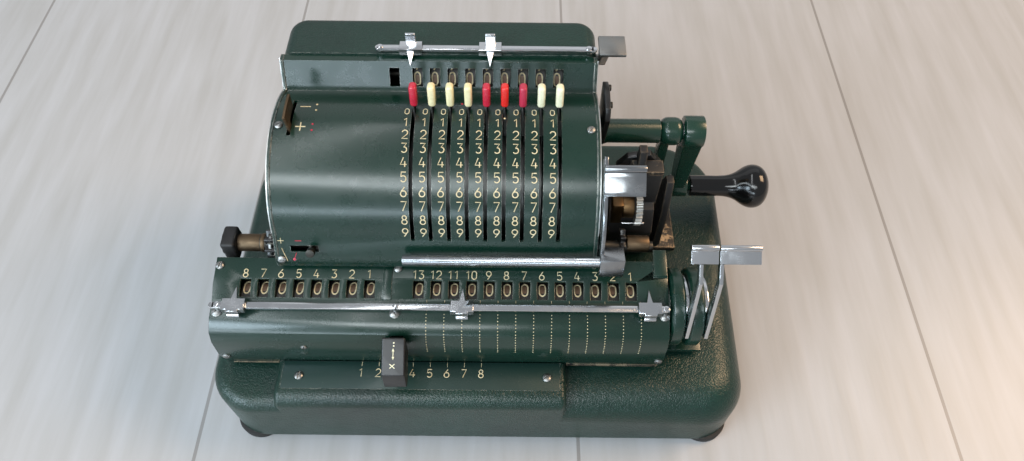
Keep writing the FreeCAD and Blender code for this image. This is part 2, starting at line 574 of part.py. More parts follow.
def lever_cap():
    cap = box(-CAP_WIDTH / 2, CAP_WIDTH / 2, DRUM_Y - CAP_DEPTH / 2, DRUM_Y + CAP_DEPTH / 2,
              DRUM_Z + CAP_FOOT, DRUM_Z + CAP_TIP)
    cap = rounded(cap, 1.1, lambda e: e.BoundBox.ZMin > DRUM_Z + CAP_TIP - 1e-3)
    stem = box(-STEM_WIDTH / 2, STEM_WIDTH / 2, DRUM_Y - STEM_DEPTH / 2, DRUM_Y + STEM_DEPTH / 2,
               DRUM_Z + CAP_FOOT - 1, DRUM_Z + STEM_RADIUS)
    return turned(cap.cut(stem), LEVER_ANGLE)


def check_dial():
    drum = rod(DIAL_Y, DIAL_Z, DIAL_RADIUS, -DIAL_WIDTH / 2, DISC_SHIFT)
    wheel = gear(DIAL_Y, DIAL_Z, DIAL_TEETH, MODULE, DIAL_ANGLE + 180, DISC_SHIFT, DISC_SHIFT + DISC_THICK)
    bore = rod(DIAL_Y, DIAL_Z, DIAL_SHAFT + RUNNING, -DIAL_WIDTH, DISC_SHIFT + DISC_THICK + 1)
    return fused(drum, wheel).cut(bore)


# ---- carriage
def carriage_block(inset):
    rear, low = CARRIAGE_REAR - inset, CARRIAGE_BOTTOM + inset
    points = [(CARRIAGE_FRONT[0][0] + inset, low)] + [(y + inset, z) for y, z in CARRIAGE_FRONT[1:]]
    points += [(y + 0.4 * inset, z - inset) for y, z in CARRIAGE_SLOPE]
    points += [(rear, CARRIAGE_TOP - inset), (rear, low)]
    return prism(points, CARRIAGE_LEFT + inset, CARRIAGE_RIGHT - inset)


def carriage_shell():
    shell = carriage_block(0).cut(carriage_block(SHEET))
    half = REGISTER_WINDOW / 2
    cuts = [box(x - half, x + half, REGISTER_WINDOW_FRONT, REGISTER_WINDOW_REAR,
                REGISTER_Z + 0.75 * WHEEL_RADIUS, CARRIAGE_TOP) for x in RESULT_XS + COUNTER_XS]
    cuts.append(box(KEY_X - 3.5, KEY_X + 3.5, 20, 28, 69.5, 82))
    cuts.append(rod(REGISTER_Y, REGISTER_Z, REGISTER_SHAFT, CARRIAGE_LEFT - 1, CARRIAGE_RIGHT + 1))
    cuts.append(box(RESULT_XS[-1] - 4, SHELL_RIGHT - 10, CARRIAGE_REAR - SHEET - 1, CARRIAGE_REAR + 1,
                    68, 88))
    ears = [box(x, x + 1.5, KEY_PIVOT_Y - 3, KEY_PIVOT_Y + 3, CARRIAGE_BOTTOM + SHEET, KEY_PIVOT_Z + 3)
            for x in (KEY_X - 5.0, KEY_X + 3.5)]
    pin_hole = rod(KEY_PIVOT_Y, KEY_PIVOT_Z, KEY_PIN + RUNNING, KEY_X - 6, KEY_X + 6)
    shoes = [box(x, x + 9, CARRIAGE_REAR - SHEET, ROD_Y + 2, 84, ROD_Z - ROD_RADIUS - SLIDE_GAP)
             for x in (-95, -16)]
    low_y, low_z = CARRIAGE_SLOPE[-1]
    slope = (CARRIAGE_TOP - low_z) / (CARRIAGE_REAR - low_y)
    heights = [(y, low_z + (y - low_y) * slope) for y in END_TAB_REACH]
    end_tab = prism(heights + [(y, z + END_TAB_THICK) for y, z in reversed(heights)], *END_TAB_SPAN)
    return fused(shell.cut(cuts), end_tab, *(ears + shoes)).cut(pin_hole)


def end_rings():
    """Collars at the carriage's right end; the clearing levers turn between them."""
    pieces = []
    for left in RING_LEFT:
        ring = rod(REGISTER_Y, REGISTER_Z, RING_RADIUS, left, left + RING_WIDTH)
        pieces.append(ring.makeChamfer(1.2, [e for e in ring.Edges if e.BoundBox.XLength < 1e-3]))
    right = RING_LEFT[1] + RING_WIDTH
    past, front, rear, thick = RING_PLATE
    foot = box(CARRIAGE_RIGHT, right, REGISTER_Y - 7, REGISTER_Y + 7, CARRIAGE_BOTTOM,
               REGISTER_Z - CLEAR_DISC - SIDE_GAP)
    plate = box(CARRIAGE_RIGHT, right + past, front, rear, CARRIAGE_BOTTOM, CARRIAGE_BOTTOM + thick)
    neck = rod(REGISTER_Y, REGISTER_Z, 14, CARRIAGE_RIGHT, RING_LEFT[0])
    rings = fused(pieces[0], pieces[1], foot, plate, neck)
    return rings.cut(rod(REGISTER_Y, REGISTER_Z, REGISTER_SHAFT, CARRIAGE_RIGHT - 1, right + 1))


def register_wheel():
    drum = rod(REGISTER_Y, REGISTER_Z, WHEEL_RADIUS, -WHEEL_WIDTH / 2, WHEEL_WIDTH / 2)
    points = []
    for i in range(10):
        points.append(around(STAR_RADIUS, 36 * i, REGISTER_Y, REGISTER_Z))
        points.append(around(STAR_RADIUS * 0.72, 36 * i + 18, REGISTER_Y, REGISTER_Z))
    star = prism(points, WHEEL_WIDTH / 2, WHEEL_WIDTH / 2 + STAR_WIDTH)
    bore = rod(REGISTER_Y, REGISTER_Z, REGISTER_SHAFT + RUNNING, -WHEEL_WIDTH, WHEEL_WIDTH + STAR_WIDTH)
    return fused(drum, star).cut(bore)


def register_shaft():
    return rod(REGISTER_Y, REGISTER_Z, REGISTER_SHAFT, CARRIAGE_LEFT, CLEAR_X[1] + CLEAR_THICK + 2)


def clearing_lever(side):
    x0, x1 = CLEAR_X[side], CLEAR_X[side] + CLEAR_THICK
    disc = rod(REGISTER_Y, REGISTER_Z, CLEAR_DISC, x0, x1)
    strip = prism([(REGISTER_Y + y, REGISTER_Z + z) for y, z in CLEAR_STRIP], x0, x1)
    span = [CLEAR_TAB_LEFT[side], CLEAR_TAB_RIGHT[side]]
    tab = prism([(REGISTER_Y + y, REGISTER_Z + z) for y, z in CLEAR_TAB], *span)
    roll = rod(REGISTER_Y + CLEAR_ROLL[0], REGISTER_Z + CLEAR_ROLL[1], CLEAR_ROLL_RADIUS, *span)
    bore = rod(REGISTER_Y, REGISTER_Z, REGISTER_SHAFT + RUNNING, x0 - 1, x1 + 1)
    return fused(disc, strip, tab, roll).cut(bore)


def pointer_rail():
    rail = box(CARRIAGE_LEFT + 1, CARRIAGE_RIGHT - 0.5, LOWER_RAIL_Y - RAIL_DEPTH / 2,
               LOWER_RAIL_Y + RAIL_DEPTH / 2, LOWER_RAIL_Z, LOWER_RAIL_Z + RAIL_THICK)
    posts = [post(x, LOWER_RAIL_Y, POST_RADIUS, LOWER_RAIL_Z - 8, LOWER_RAIL_Z + RAIL_THICK + 0.7)
             for x in LOWER_POSTS]
    return fused(rail, *posts).cut(carriage_block(0))


def upper_rail():
    rail = box(UPPER_RAIL_LEFT, UPPER_RAIL_RIGHT, UPPER_RAIL_Y - RAIL_DEPTH / 2,
               UPPER_RAIL_Y + RAIL_DEPTH / 2, UPPER_RAIL_Z, UPPER_RAIL_Z + RAIL_THICK)
    posts = [post(x, UPPER_RAIL_Y, POST_RADIUS, COVER_TOP, UPPER_RAIL_Z + RAIL_THICK + 0.7)
             for x in UPPER_POSTS]
    return fused(rail, *posts)


def slider(x, y, z):
    """Block that wraps a pointer rail whose underside is at z."""
    low, high = z - CLEAR - POINTER_WALL, z + RAIL_THICK + CLEAR + POINTER_WALL
    block = box(x - POINTER_WIDTH / 2, x + POINTER_WIDTH / 2, y - POINTER_DEPTH / 2, y + POINTER_DEPTH / 2,
                low, high)
    hole = box(x - POINTER_WIDTH, x + POINTER_WIDTH, y - RAIL_DEPTH / 2 - CLEAR, y + RAIL_DEPTH / 2 + CLEAR,
               z - CLEAR, z + RAIL_THICK + CLEAR)
    return block.cut(hole), high


def arrow(x, root, tip, half, thick=1.0):
    """Flat needle from its root to its point, both given in Y and Z."""
    corners = [V(x - half, *root), V(x + half, *root), V(x, *tip), V(x - half, *root)]
    length = math.hypot(tip[0] - root[0], tip[1] - root[1])
    normal = V(0, abs(tip[1] - root[1]) / length, abs(tip[0] - root[0]) / length)
    if tip[0] < root[0]:
        normal.y = -normal.y
    return Part.Face(Part.makePolygon(corners)).extrude(normal * thick)


def lower_pointer(x):
    block, high = slider(x, LOWER_RAIL_Y, LOWER_RAIL_Z)
    root, tip = LOWER_RAIL_Y + POINTER_DEPTH / 2 - 0.4, LOWER_RAIL_Y + 10.5
    needle = arrow(x, (root, high - 1), (tip, high - 1), 1.6)
    tab = box(x - 3, x + 3, LOWER_RAIL_Y - POINTER_DEPTH / 2 - 1.2, LOWER_RAIL_Y - POINTER_DEPTH / 2 + 0.3,
              LOWER_RAIL_Z - 3.2, high)
    return fused(block, needle, tab)


def upper_pointer(x):
    block, high = slider(x, UPPER_RAIL_Y, UPPER_RAIL_Z)
    tip = band_point(BAND_LENGTH - 2.6, 1.3)
    needle = arrow(x, (UPPER_RAIL_Y - POINTER_DEPTH / 2 + 0.4, high - 1.6), tip, 1.8)
    tab = box(x - 2.5, x + 2.5, UPPER_RAIL_Y + POINTER_DEPTH / 2 - 1.2, UPPER_RAIL_Y + POINTER_DEPTH / 2,
              high - 0.5, high + 5.5)
    return fused(block, needle, tab)


def carriage_key():
    half = KEY_WIDTH / 2
    block = prism(KEY_BLOCK, KEY_X - half, KEY_X + half)
    block = rounded(block, 0.8, lambda e: e.BoundBox.ZMax > KEY_BLOCK[1][1] - 1)
    stem = prism(KEY_STEM, KEY_X - KEY_STEM_WIDTH / 2, KEY_X + KEY_STEM_WIDTH / 2)
    pin = rod(KEY_PIVOT_Y, KEY_PIVOT_Z, KEY_PIN, KEY_X - 5.0, KEY_X + 5.0)
    return fused(block, stem, pin)


# ---- levers on the housing
def reset_lever():
    """Bail across the setting slots, carried by an arm beside the housing."""
    left = HOUSING_RIGHT + SIDE_GAP
    right = left + RESET_THICK
    spoke = ring_part(SHAFT + 1, COVER_RADIUS + 3, BAR_ANGLE - 8, BAR_ANGLE + 8, left, right)
    hub = rod(DRUM_Y, DRUM_Z, SHAFT + 4, left, right)
    rim = ring_part(COVER_RADIUS + 0.8, BAR_ORBIT - 0.3, BAR_ANGLE - 8, RESET_TOP_ANGLE, left, right)
    block = ring_part(COVER_RADIUS + 3, COVER_RADIUS + 13, BAR_ANGLE - 6, BAR_ANGLE + 5,
                      left, HOUSING_RIGHT + 12.5)
    bar_y, bar_z = around(BAR_ORBIT, BAR_ANGLE)
    bar = rod(bar_y, bar_z, BAR_RADIUS, BAR_LEFT, right)
    tab = ring_part(BAR_ORBIT - 1.5, BAR_ORBIT + 0.3, -44.5, -32, left, RESET_TAB_RIGHT)
    roll_y, roll_z = around(BAR_ORBIT + 0.6, -31.8)
    roll = rod(roll_y, roll_z, 1.8, left, RESET_TAB_RIGHT)
    bore = rod(DRUM_Y, DRUM_Z, SHAFT + RUNNING, left - 1, right + 1)
    return fused(spoke, hub, rim, block, bar, tab, roll).cut(bore)


def transfer_lever():
    left = HOUSING_RIGHT + SIDE_GAP + RESET_THICK + CLEAR
    plate = prism([(TRANSFER_Y + y, TRANSFER_Z + z) for y, z in TRANSFER_PLATE], left, left + TRANSFER_THICK)
    front, rear, low, high = TRANSFER_TAB
    tab = box(HOUSING_RIGHT + SIDE_GAP, HOUSING_RIGHT + TRANSFER_REACH,
              TRANSFER_Y + front, TRANSFER_Y + rear, TRANSFER_Z + low, TRANSFER_Z + high)
    pivot = rod(TRANSFER_Y, TRANSFER_Z, TRANSFER_PIN, SHELL_RIGHT - 1, left + 1)
    return fused(plate, tab, pivot)


def sign_lever():
    half = SIGN_THICK / 2
    disc = rod(DRUM_Y, DRUM_Z, SHAFT + 5, SIGN_X - half, SIGN_X + half)
    stem = box(SIGN_X - half, SIGN_X + half, DRUM_Y - 2, DRUM_Y + 2, DRUM_Z, DRUM_Z + SIGN_GRIP[0] + 1)
    grip = ring_part(*SIGN_GRIP, SIGN_X - half, SIGN_X + half)
    lever = turned(fused(stem, grip), SIGN_ANGLE)
    return fused(disc, lever).cut(rod(DRUM_Y, DRUM_Z, SHAFT + RUNNING, SIGN_X - 3, SIGN_X + 3))


def direction_slider():
    """Pin in the apron's slot, with a plate inside that keeps it there."""
    out, low = apron_point(0.5, 5.5), apron_point(0.5, -3.2)
    direction = V(0, out[0] - low[0], out[1] - low[1])
    pin = Part.makeCylinder(1.2, direction.Length, V(SLIDER_X, *low), direction)
    knob = Part.makeCylinder(2.2, 3.2, V(SLIDER_X, *apron_point(0.5, 2.6)), direction)
    corners = [apron_point(share, out) for share, out in ((0.2, -1.9), (0.8, -1.9), (0.8, -3.2), (0.2, -3.2))]
    keeper = prism(corners, SLIDER_X - 2.5, SLIDER_X + 2.5)
    return fused(pin, knob, keeper)


# ---- the whole machine
def build():
    nodes = {
        "base_tray": Part.makeCompound(base_tray()),
        "rubber_feet": Part.makeCompound(rubber_feet()),
        "scale_plate": scale_plate(),
        "housing_shell": housing_shell(),
        "rear_cover": rear_cover(),
        "side_frames": Part.makeCompound(side_frames()),
        "crank_bracket": crank_bracket(),
        "gear_bracket": gear_bracket(),
        "fixed_shafts": Part.makeCompound(fixed_shafts()),
        "upper_rail": upper_rail(),
        "main_shaft": main_shaft(),
        "crank_arm": crank_arm(),
        "crank_knob": crank_knob(),
        "carriage_shell": Part.makeCompound([carriage_shell(), end_rings()]),
        "register_shaft": register_shaft(),
        "pointer_rail": pointer_rail(),
        "clearing_lever_counter": clearing_lever(0),
        "clearing_lever_result": clearing_lever(1),
        "carriage_key": carriage_key(),
        "reset_lever": reset_lever(),
        "transfer_lever": transfer_lever(),
        "sign_lever": sign_lever(),
        "direction_slider": direction_slider(),
    }
    wheel, cap, dial, numeral_wheel = setting_wheel(), lever_cap(), check_dial(), register_wheel()
    for k, x in enumerate(SETTING_XS):
        nodes["setting_lever_%d" % (k + 1)] = Part.makeCompound([moved(wheel, x), moved(cap, x)])
        nodes["check_dial_%d" % (k + 1)] = moved(dial, x)
    for k, x in enumerate(RESULT_XS):
        nodes["result_wheel_%d" % (k + 1)] = moved(numeral_wheel, x)
    nodes["counter_wheels"] = Part.makeCompound([moved(numeral_wheel, x) for x in COUNTER_XS])
    for k, x in enumerate(LOWER_POINTERS):
        nodes["lower_pointer_%d" % (k + 1)] = lower_pointer(x)
    for k, x in enumerate(UPPER_POINTERS):
        nodes["upper_pointer_%d" % (k + 1)] = upper_pointer(x)
    return nodes


def centred(nodes):
    """Moves everything so that the origin is under the middle of the machine, and says by how much."""
    span = FreeCAD.BoundBox()
    for shape in nodes.values():
        span.add(shape.optimalBoundingBox())
    shift = V(-(span.XMin + span.XMax) / 2, -(span.YMin + span.YMax) / 2, -span.ZMin)
    for shape in nodes.values():
        shape.translate(shift)
    return shift


NODES = build()
SHIFT = centred(NODES)
os.makedirs("parts", exist_ok=True)
for name, shape in NODES.items():
    shape.exportStep("parts/%s.step" % name)
print(len(NODES), "nodes, shifted by", SHIFT)
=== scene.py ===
import json
import math

import bpy
from mathutils import Matrix, Vector

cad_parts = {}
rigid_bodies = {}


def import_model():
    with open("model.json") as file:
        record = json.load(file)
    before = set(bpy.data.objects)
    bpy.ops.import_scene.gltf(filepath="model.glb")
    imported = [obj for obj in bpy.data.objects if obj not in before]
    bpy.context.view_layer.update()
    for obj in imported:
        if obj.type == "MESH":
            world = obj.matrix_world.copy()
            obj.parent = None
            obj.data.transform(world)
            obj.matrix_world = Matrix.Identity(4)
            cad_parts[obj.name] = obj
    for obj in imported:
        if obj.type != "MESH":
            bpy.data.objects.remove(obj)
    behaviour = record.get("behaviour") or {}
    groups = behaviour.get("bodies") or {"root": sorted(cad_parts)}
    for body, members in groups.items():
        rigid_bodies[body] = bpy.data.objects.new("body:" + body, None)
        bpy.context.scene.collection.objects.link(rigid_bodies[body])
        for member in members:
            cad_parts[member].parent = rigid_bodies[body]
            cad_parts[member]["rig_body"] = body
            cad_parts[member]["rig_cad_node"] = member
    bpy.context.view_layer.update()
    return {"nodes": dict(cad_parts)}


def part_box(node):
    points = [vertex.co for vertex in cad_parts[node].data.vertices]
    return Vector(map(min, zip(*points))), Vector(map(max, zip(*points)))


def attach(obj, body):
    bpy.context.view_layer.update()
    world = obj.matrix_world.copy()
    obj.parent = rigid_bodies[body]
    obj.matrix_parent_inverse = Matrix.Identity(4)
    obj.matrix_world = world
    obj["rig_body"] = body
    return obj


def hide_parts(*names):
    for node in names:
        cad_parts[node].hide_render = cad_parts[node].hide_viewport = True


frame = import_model()

# Sizes are in millimetres: X to the operator's right, Y away from the operator, Z up from the table.
# The zero point is the front of the base, on the camera's line.
base = {"left": -162.0, "feet": 6.0}
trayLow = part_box("base_tray")[0]
zero = Vector((trayLow.x - base["left"] / 1000, trayLow.y, trayLow.z - base["feet"] / 1000))
drum = {"y": 112.0, "z": 98.0, "cover": 50.0}
register = {"y": 47.5, "z": 75.6, "wheel": 13.0}
pitch = 9.0
settingXs = [21.8 - pitch * k for k in range(9)]
resultXs = [59.8 - pitch * k for k in range(13)]
counterXs = [-73.0 - pitch * k for k in range(8)]


def place(x, y, z):
    return zero + Vector((x, y, z)) / 1000


def aroundDrum(radius, angle):  # degrees from straight up, positive to the rear
    turn = math.radians(angle)
    return drum["y"] + radius * math.sin(turn), drum["z"] + radius * math.cos(turn)


# handling pieces
def letGo():
    if bpy.context.mode != "OBJECT":
        bpy.ops.object.mode_set(mode="OBJECT")
    bpy.ops.object.select_all(action="DESELECT")


def take(*pieces):
    letGo()
    for piece in pieces:
        piece.select_set(True)
    bpy.context.view_layer.objects.active = pieces[0]
    return pieces[0]


def named(piece, name):
    piece.name = name
    piece.data.name = name
    return piece


def fixPlace(piece):
    take(piece)
    bpy.ops.object.transform_apply(location=True, rotation=True, scale=True)
    return piece


def twin(piece):
    other = piece.copy()
    other.data = piece.data.copy()
    bpy.context.scene.collection.objects.link(other)
    return other


def clearAway(*pieces):
    for piece in pieces:
        bpy.data.objects.remove(piece)


def applyAll(piece):
    take(piece)
    for modifier in list(piece.modifiers):
        bpy.ops.object.modifier_apply(modifier=modifier.name)
    return piece


def joined(name, pieces):
    take(*pieces)
    if len(pieces) > 1:
        bpy.ops.object.join()
    return named(fixPlace(pieces[0]), name)


def softened(piece, edge, steps=2, clamp=True):
    if edge:
        bevel = piece.modifiers.new("edges", "BEVEL")
        bevel.width, bevel.segments = edge / 1000, steps
        bevel.limit_method, bevel.angle_limit = "ANGLE", math.radians(35)
        bevel.use_clamp_overlap = clamp
        applyAll(piece)
    take(piece)
    bpy.ops.object.shade_smooth_by_angle(angle=math.radians(40))
    return piece


def finished(piece, finish, body):
    piece.data.materials.clear()
    piece.data.materials.append(finishes[finish])
    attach(piece, body)
    return piece


def onMachine(piece, finish):
    return finished(piece, finish, "machine")


# forms
def block(name, x0, x1, y0, y1, z0, z1, edge=0.3, steps=2):
    middle = place((x0 + x1) / 2, (y0 + y1) / 2, (z0 + z1) / 2)
    sides = ((x1 - x0) / 1000, (y1 - y0) / 1000, (z1 - z0) / 1000)
    letGo()
    bpy.ops.mesh.primitive_cube_add(size=1, location=middle, scale=sides)
    return softened(named(fixPlace(bpy.context.object), name), edge, steps)


def pin(name, start, end, radius, sides=32, edge=0.2):
    line = Vector(end) - Vector(start)
    middle = place(*(Vector(start) + line / 2))
    turn = line.to_track_quat("Z", "Y").to_euler()
    letGo()
    bpy.ops.mesh.primitive_cylinder_add(vertices=sides, radius=radius / 1000, depth=line.length / 1000,
                                        location=middle, rotation=turn)
    return softened(named(fixPlace(bpy.context.object), name), edge)


def pickFaces(piece, wanted):
    # leaves the piece in edit mode with the faces selected whose middle answers
    take(piece)
    bpy.ops.object.mode_set(mode="EDIT")
    bpy.ops.mesh.select_mode(type="FACE")
    bpy.ops.mesh.select_all(action="DESELECT")
    bpy.ops.object.mode_set(mode="OBJECT")
    for face in piece.data.polygons:
        face.select = bool(wanted(piece.matrix_world @ face.center))
    bpy.ops.object.mode_set(mode="EDIT")


def chainStart(point):
    letGo()
    bpy.ops.mesh.primitive_plane_add(size=0.001, location=place(*point))
    bpy.ops.object.mode_set(mode="EDIT")
    bpy.ops.mesh.select_mode(type="VERT")
    bpy.ops.mesh.select_all(action="SELECT")
    bpy.ops.mesh.merge(type="CENTER")
    return bpy.context.object


def chainOn(points):
    for a, b in zip(points, points[1:]):
        step = (Vector(b) - Vector(a)) / 1000
        bpy.ops.mesh.extrude_region_move(TRANSFORM_OT_translate={"value": step})


def sheetPiece(name, points, thick, edge=0.3, steps=2):
    # closed outline of points in space, drawn out by the vector thick
    piece = chainStart(points[0])
    chainOn(points)
    bpy.ops.mesh.select_all(action="SELECT")
    bpy.ops.mesh.edge_face_add()
    bpy.ops.mesh.extrude_region_move(TRANSFORM_OT_translate={"value": Vector(thick) / 1000})
    bpy.ops.mesh.select_all(action="SELECT")
    bpy.ops.mesh.normals_make_consistent(inside=False)
    return softened(named(fixPlace(piece), name), edge, steps)


def sideOutline(name, points, x0, x1, edge=0.3, steps=2):
    return sheetPiece(name, [(x0, y, z) for y, z in points], (x1 - x0, 0, 0), edge, steps)


def turnedPiece(name, profile, start, axis, steps=48, edge=0):
    # profile of (distance along the axis, radius), turned about an axis through start
    piece = chainStart((0, 0, 0))
    bpy.ops.transform.translate(value=(profile[0][1] / 1000, 0, profile[0][0] / 1000))
    chainOn([(radius, 0, along) for along, radius in profile])
    bpy.ops.mesh.select_all(action="SELECT")
    bpy.ops.mesh.spin(steps=steps, angle=2 * math.pi, center=place(0, 0, 0), axis=(0, 0, 1))
    bpy.ops.mesh.select_all(action="SELECT")
    bpy.ops.mesh.remove_doubles(threshold=1e-6)
    bpy.ops.mesh.normals_make_consistent(inside=False)
    letGo()
    turn = Vector(axis).to_track_quat("Z", "Y").to_matrix().to_4x4()
    piece.matrix_world = Matrix.Translation(place(*start)) @ turn
    return softened(named(fixPlace(piece), name), edge)


def swung(piece, angle):
    # leans a piece back by that many degrees about the drum's shaft
    middle = place(0, drum["y"], drum["z"])
    piece.matrix_world = (Matrix.Translation(middle) @ Matrix.Rotation(-math.radians(angle), 4, "X")
                          @ Matrix.Translation(-middle) @ piece.matrix_world)
    return fixPlace(piece)


def copied(piece, name, move=(0, 0, 0)):
    other = twin(piece)
    other.location = Vector(move) / 1000
    return named(fixPlace(other), name)


def cutAway(piece, cutters):
    cutter = joined("cutter", cutters)
    cut = piece.modifiers.new("cut", "BOOLEAN")
    cut.operation, cut.solver, cut.object = "DIFFERENCE", "EXACT", cutter
    applyAll(piece)
    clearAway(cutter)
    return piece


def dressed(node, edge=0.3, steps=2, clamp=True):
    # a merged copy of a CAD node with softened edges, which stands for it
    piece = twin(frame["nodes"][node])
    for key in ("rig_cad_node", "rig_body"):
        del piece[key]
    piece.parent = None
    named(piece, node.replace("_", ".") + ".finished")
    take(piece)
    bpy.ops.object.mode_set(mode="EDIT")
    bpy.ops.mesh.select_all(action="SELECT")
    bpy.ops.mesh.remove_doubles(threshold=2e-6)
    if edge:
        bpy.ops.mesh.dissolve_limited(angle_limit=math.radians(0.6))
    take(piece)
    if piece.data.has_custom_normals:
        bpy.ops.mesh.customdata_custom_splitnormals_clear()
    softened(piece, edge, steps, clamp)
    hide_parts(node)
    return piece


# shared effects
def startGroup(name, inputs, outputs):
    tree = bpy.data.node_groups.new(name, "ShaderNodeTree")
    for label, value in inputs.items():
        kind = "NodeSocketColor" if isinstance(value, tuple) else "NodeSocketFloat"
        socket = tree.interface.new_socket(name=label, in_out="INPUT", socket_type=kind)
        socket.default_value = value
    for label, kind in outputs.items():
        tree.interface.new_socket(name=label, in_out="OUTPUT", socket_type=kind)
    return tree, tree.nodes.new("NodeGroupInput"), tree.nodes.new("NodeGroupOutput")


def addNode(tree, kind, feeds=None, **settings):
    # feeds: socket name or number -> value or another node's output
    item = tree.nodes.new(kind)
    for key, value in settings.items():
        setattr(item, key, value)
    for key, value in (feeds or {}).items():
        if isinstance(value, bpy.types.NodeSocket):
            tree.links.new(value, item.inputs[key])
        else:
            item.inputs[key].default_value = value
    return item


def sum2(tree, operation, a, b, clamp=False):
    return addNode(tree, "ShaderNodeMath", {0: a, 1: b}, operation=operation, use_clamp=clamp).outputs[0]


def ramp(tree, factor, low, high):
    feeds = {"Value": factor, "From Min": low, "From Max": high}
    return addNode(tree, "ShaderNodeMapRange", feeds, clamp=True).outputs["Result"]


def objectPlace(tree):
    return addNode(tree, "ShaderNodeTexCoord").outputs["Object"]


def noise(tree, where, scale, detail, rough=0.5):
    feeds = {"Vector": where, "Scale": scale, "Detail": detail, "Roughness": rough}
    return addNode(tree, "ShaderNodeTexNoise", feeds).outputs["Fac"]


def blendColour(tree, factor, a, b):
    item = addNode(tree, "ShaderNodeMix", data_type="RGBA", blend_type="MIX")
    for key, value in ((0, factor), (6, a), (7, b)):
        if isinstance(value, bpy.types.NodeSocket):
            tree.links.new(value, item.inputs[key])
        else:
            item.inputs[key].default_value = value
    return item.outputs[2]


def makeEdgeWear():
    # finds convex edges by comparing the true normal with a rounded one, broken up by noise
    tree, given, result = startGroup("edge wear", {"Width": 0.0006, "Amount": 0.5, "Break Up": 400.0},
                                     {"Mask": "NodeSocketFloat"})
    rounded = addNode(tree, "ShaderNodeBevel", {"Radius": given.outputs["Width"]}, samples=4)
    flat = addNode(tree, "ShaderNodeNewGeometry")
    dot = addNode(tree, "ShaderNodeVectorMath", {0: rounded.outputs[0], 1: flat.outputs["Normal"]},
                  operation="DOT_PRODUCT")
    bent = sum2(tree, "SUBTRACT", 1.0, dot.outputs["Value"])
    where = objectPlace(tree)
    patchy = noise(tree, where, given.outputs["Break Up"], 5.0, 0.65)
    broken = sum2(tree, "MULTIPLY", bent, ramp(tree, patchy, 0.35, 0.62))
    level = sum2(tree, "SUBTRACT", 0.3, sum2(tree, "MULTIPLY", given.outputs["Amount"], 0.28))
    mask = addNode(tree, "ShaderNodeMapRange", {"Value": broken, "From Min": level,
                                                "From Max": sum2(tree, "ADD", level, 0.05)}, clamp=True)
    tree.links.new(mask.outputs["Result"], result.inputs["Mask"])
    return tree


def makePaintSkin():
    # enamel: faint clouding, orange peel and fine dust
    tree, given, result = startGroup(
        "paint skin",
        {"Colour": (0.01, 0.03, 0.024, 1), "Dull Colour": (0.02, 0.045, 0.036, 1), "Gloss": 0.25},
        {"Colour": "NodeSocketColor", "Roughness": "NodeSocketFloat", "Height": "NodeSocketFloat"})
    where = objectPlace(tree)
    clouding = ramp(tree, noise(tree, where, 18.0, 6.0, 0.6), 0.35, 0.75)
    colour = blendColour(tree, clouding, given.outputs["Colour"], given.outputs["Dull Colour"])
    specks = ramp(tree, noise(tree, where, 1500.0, 2.0), 0.72, 0.8)
    colour = blendColour(tree, sum2(tree, "MULTIPLY", specks, 0.3), colour, (0.25, 0.27, 0.25, 1))
    rubbed = sum2(tree, "MULTIPLY", ramp(tree, noise(tree, where, 95.0, 8.0, 0.7), 0.4, 0.75), 0.09)
    rough = sum2(tree, "ADD", given.outputs["Gloss"], rubbed, clamp=True)
    tree.links.new(colour, result.inputs["Colour"])
    tree.links.new(rough, result.inputs["Roughness"])
    tree.links.new(noise(tree, where, 520.0, 2.0), result.inputs["Height"])
    return tree


def makeWrinkle():
    # wrinkle enamel: a net of small rounded domes with hollows between them, and a mask for the painted
    # shade in those hollows
    tree, given, result = startGroup("wrinkle", {"Scale": 620.0},
                                     {"Height": "NodeSocketFloat", "Hollow Shade": "NodeSocketFloat"})
    where = objectPlace(tree)
    warp = addNode(tree, "ShaderNodeTexNoise", {"Vector": where, "Scale": 330.0, "Detail": 3.0})
    feeds = {0: warp.outputs["Color"], 1: (0.0028, 0.0028, 0.0028)}
    shift = addNode(tree, "ShaderNodeVectorMath", feeds, operation="MULTIPLY")
    moved = addNode(tree, "ShaderNodeVectorMath", {0: where, 1: shift.outputs[0]}, operation="ADD")
    feeds = {"Vector": moved.outputs[0], "Scale": given.outputs["Scale"], "Smoothness": 0.6}
    cells = addNode(tree, "ShaderNodeTexVoronoi", feeds, feature="SMOOTH_F1")
    domes = ramp(tree, cells.outputs["Distance"], 0.75, 0.05)
    height = sum2(tree, "ADD", domes, sum2(tree, "MULTIPLY", noise(tree, where, 1400.0, 3.0), 0.25))
    tree.links.new(height, result.inputs["Height"])
    # Hollow Shade: painted shade, strongest in the hollows between the domes
    tree.links.new(ramp(tree, domes, 0.55, 0.1), result.inputs["Hollow Shade"])
    return tree


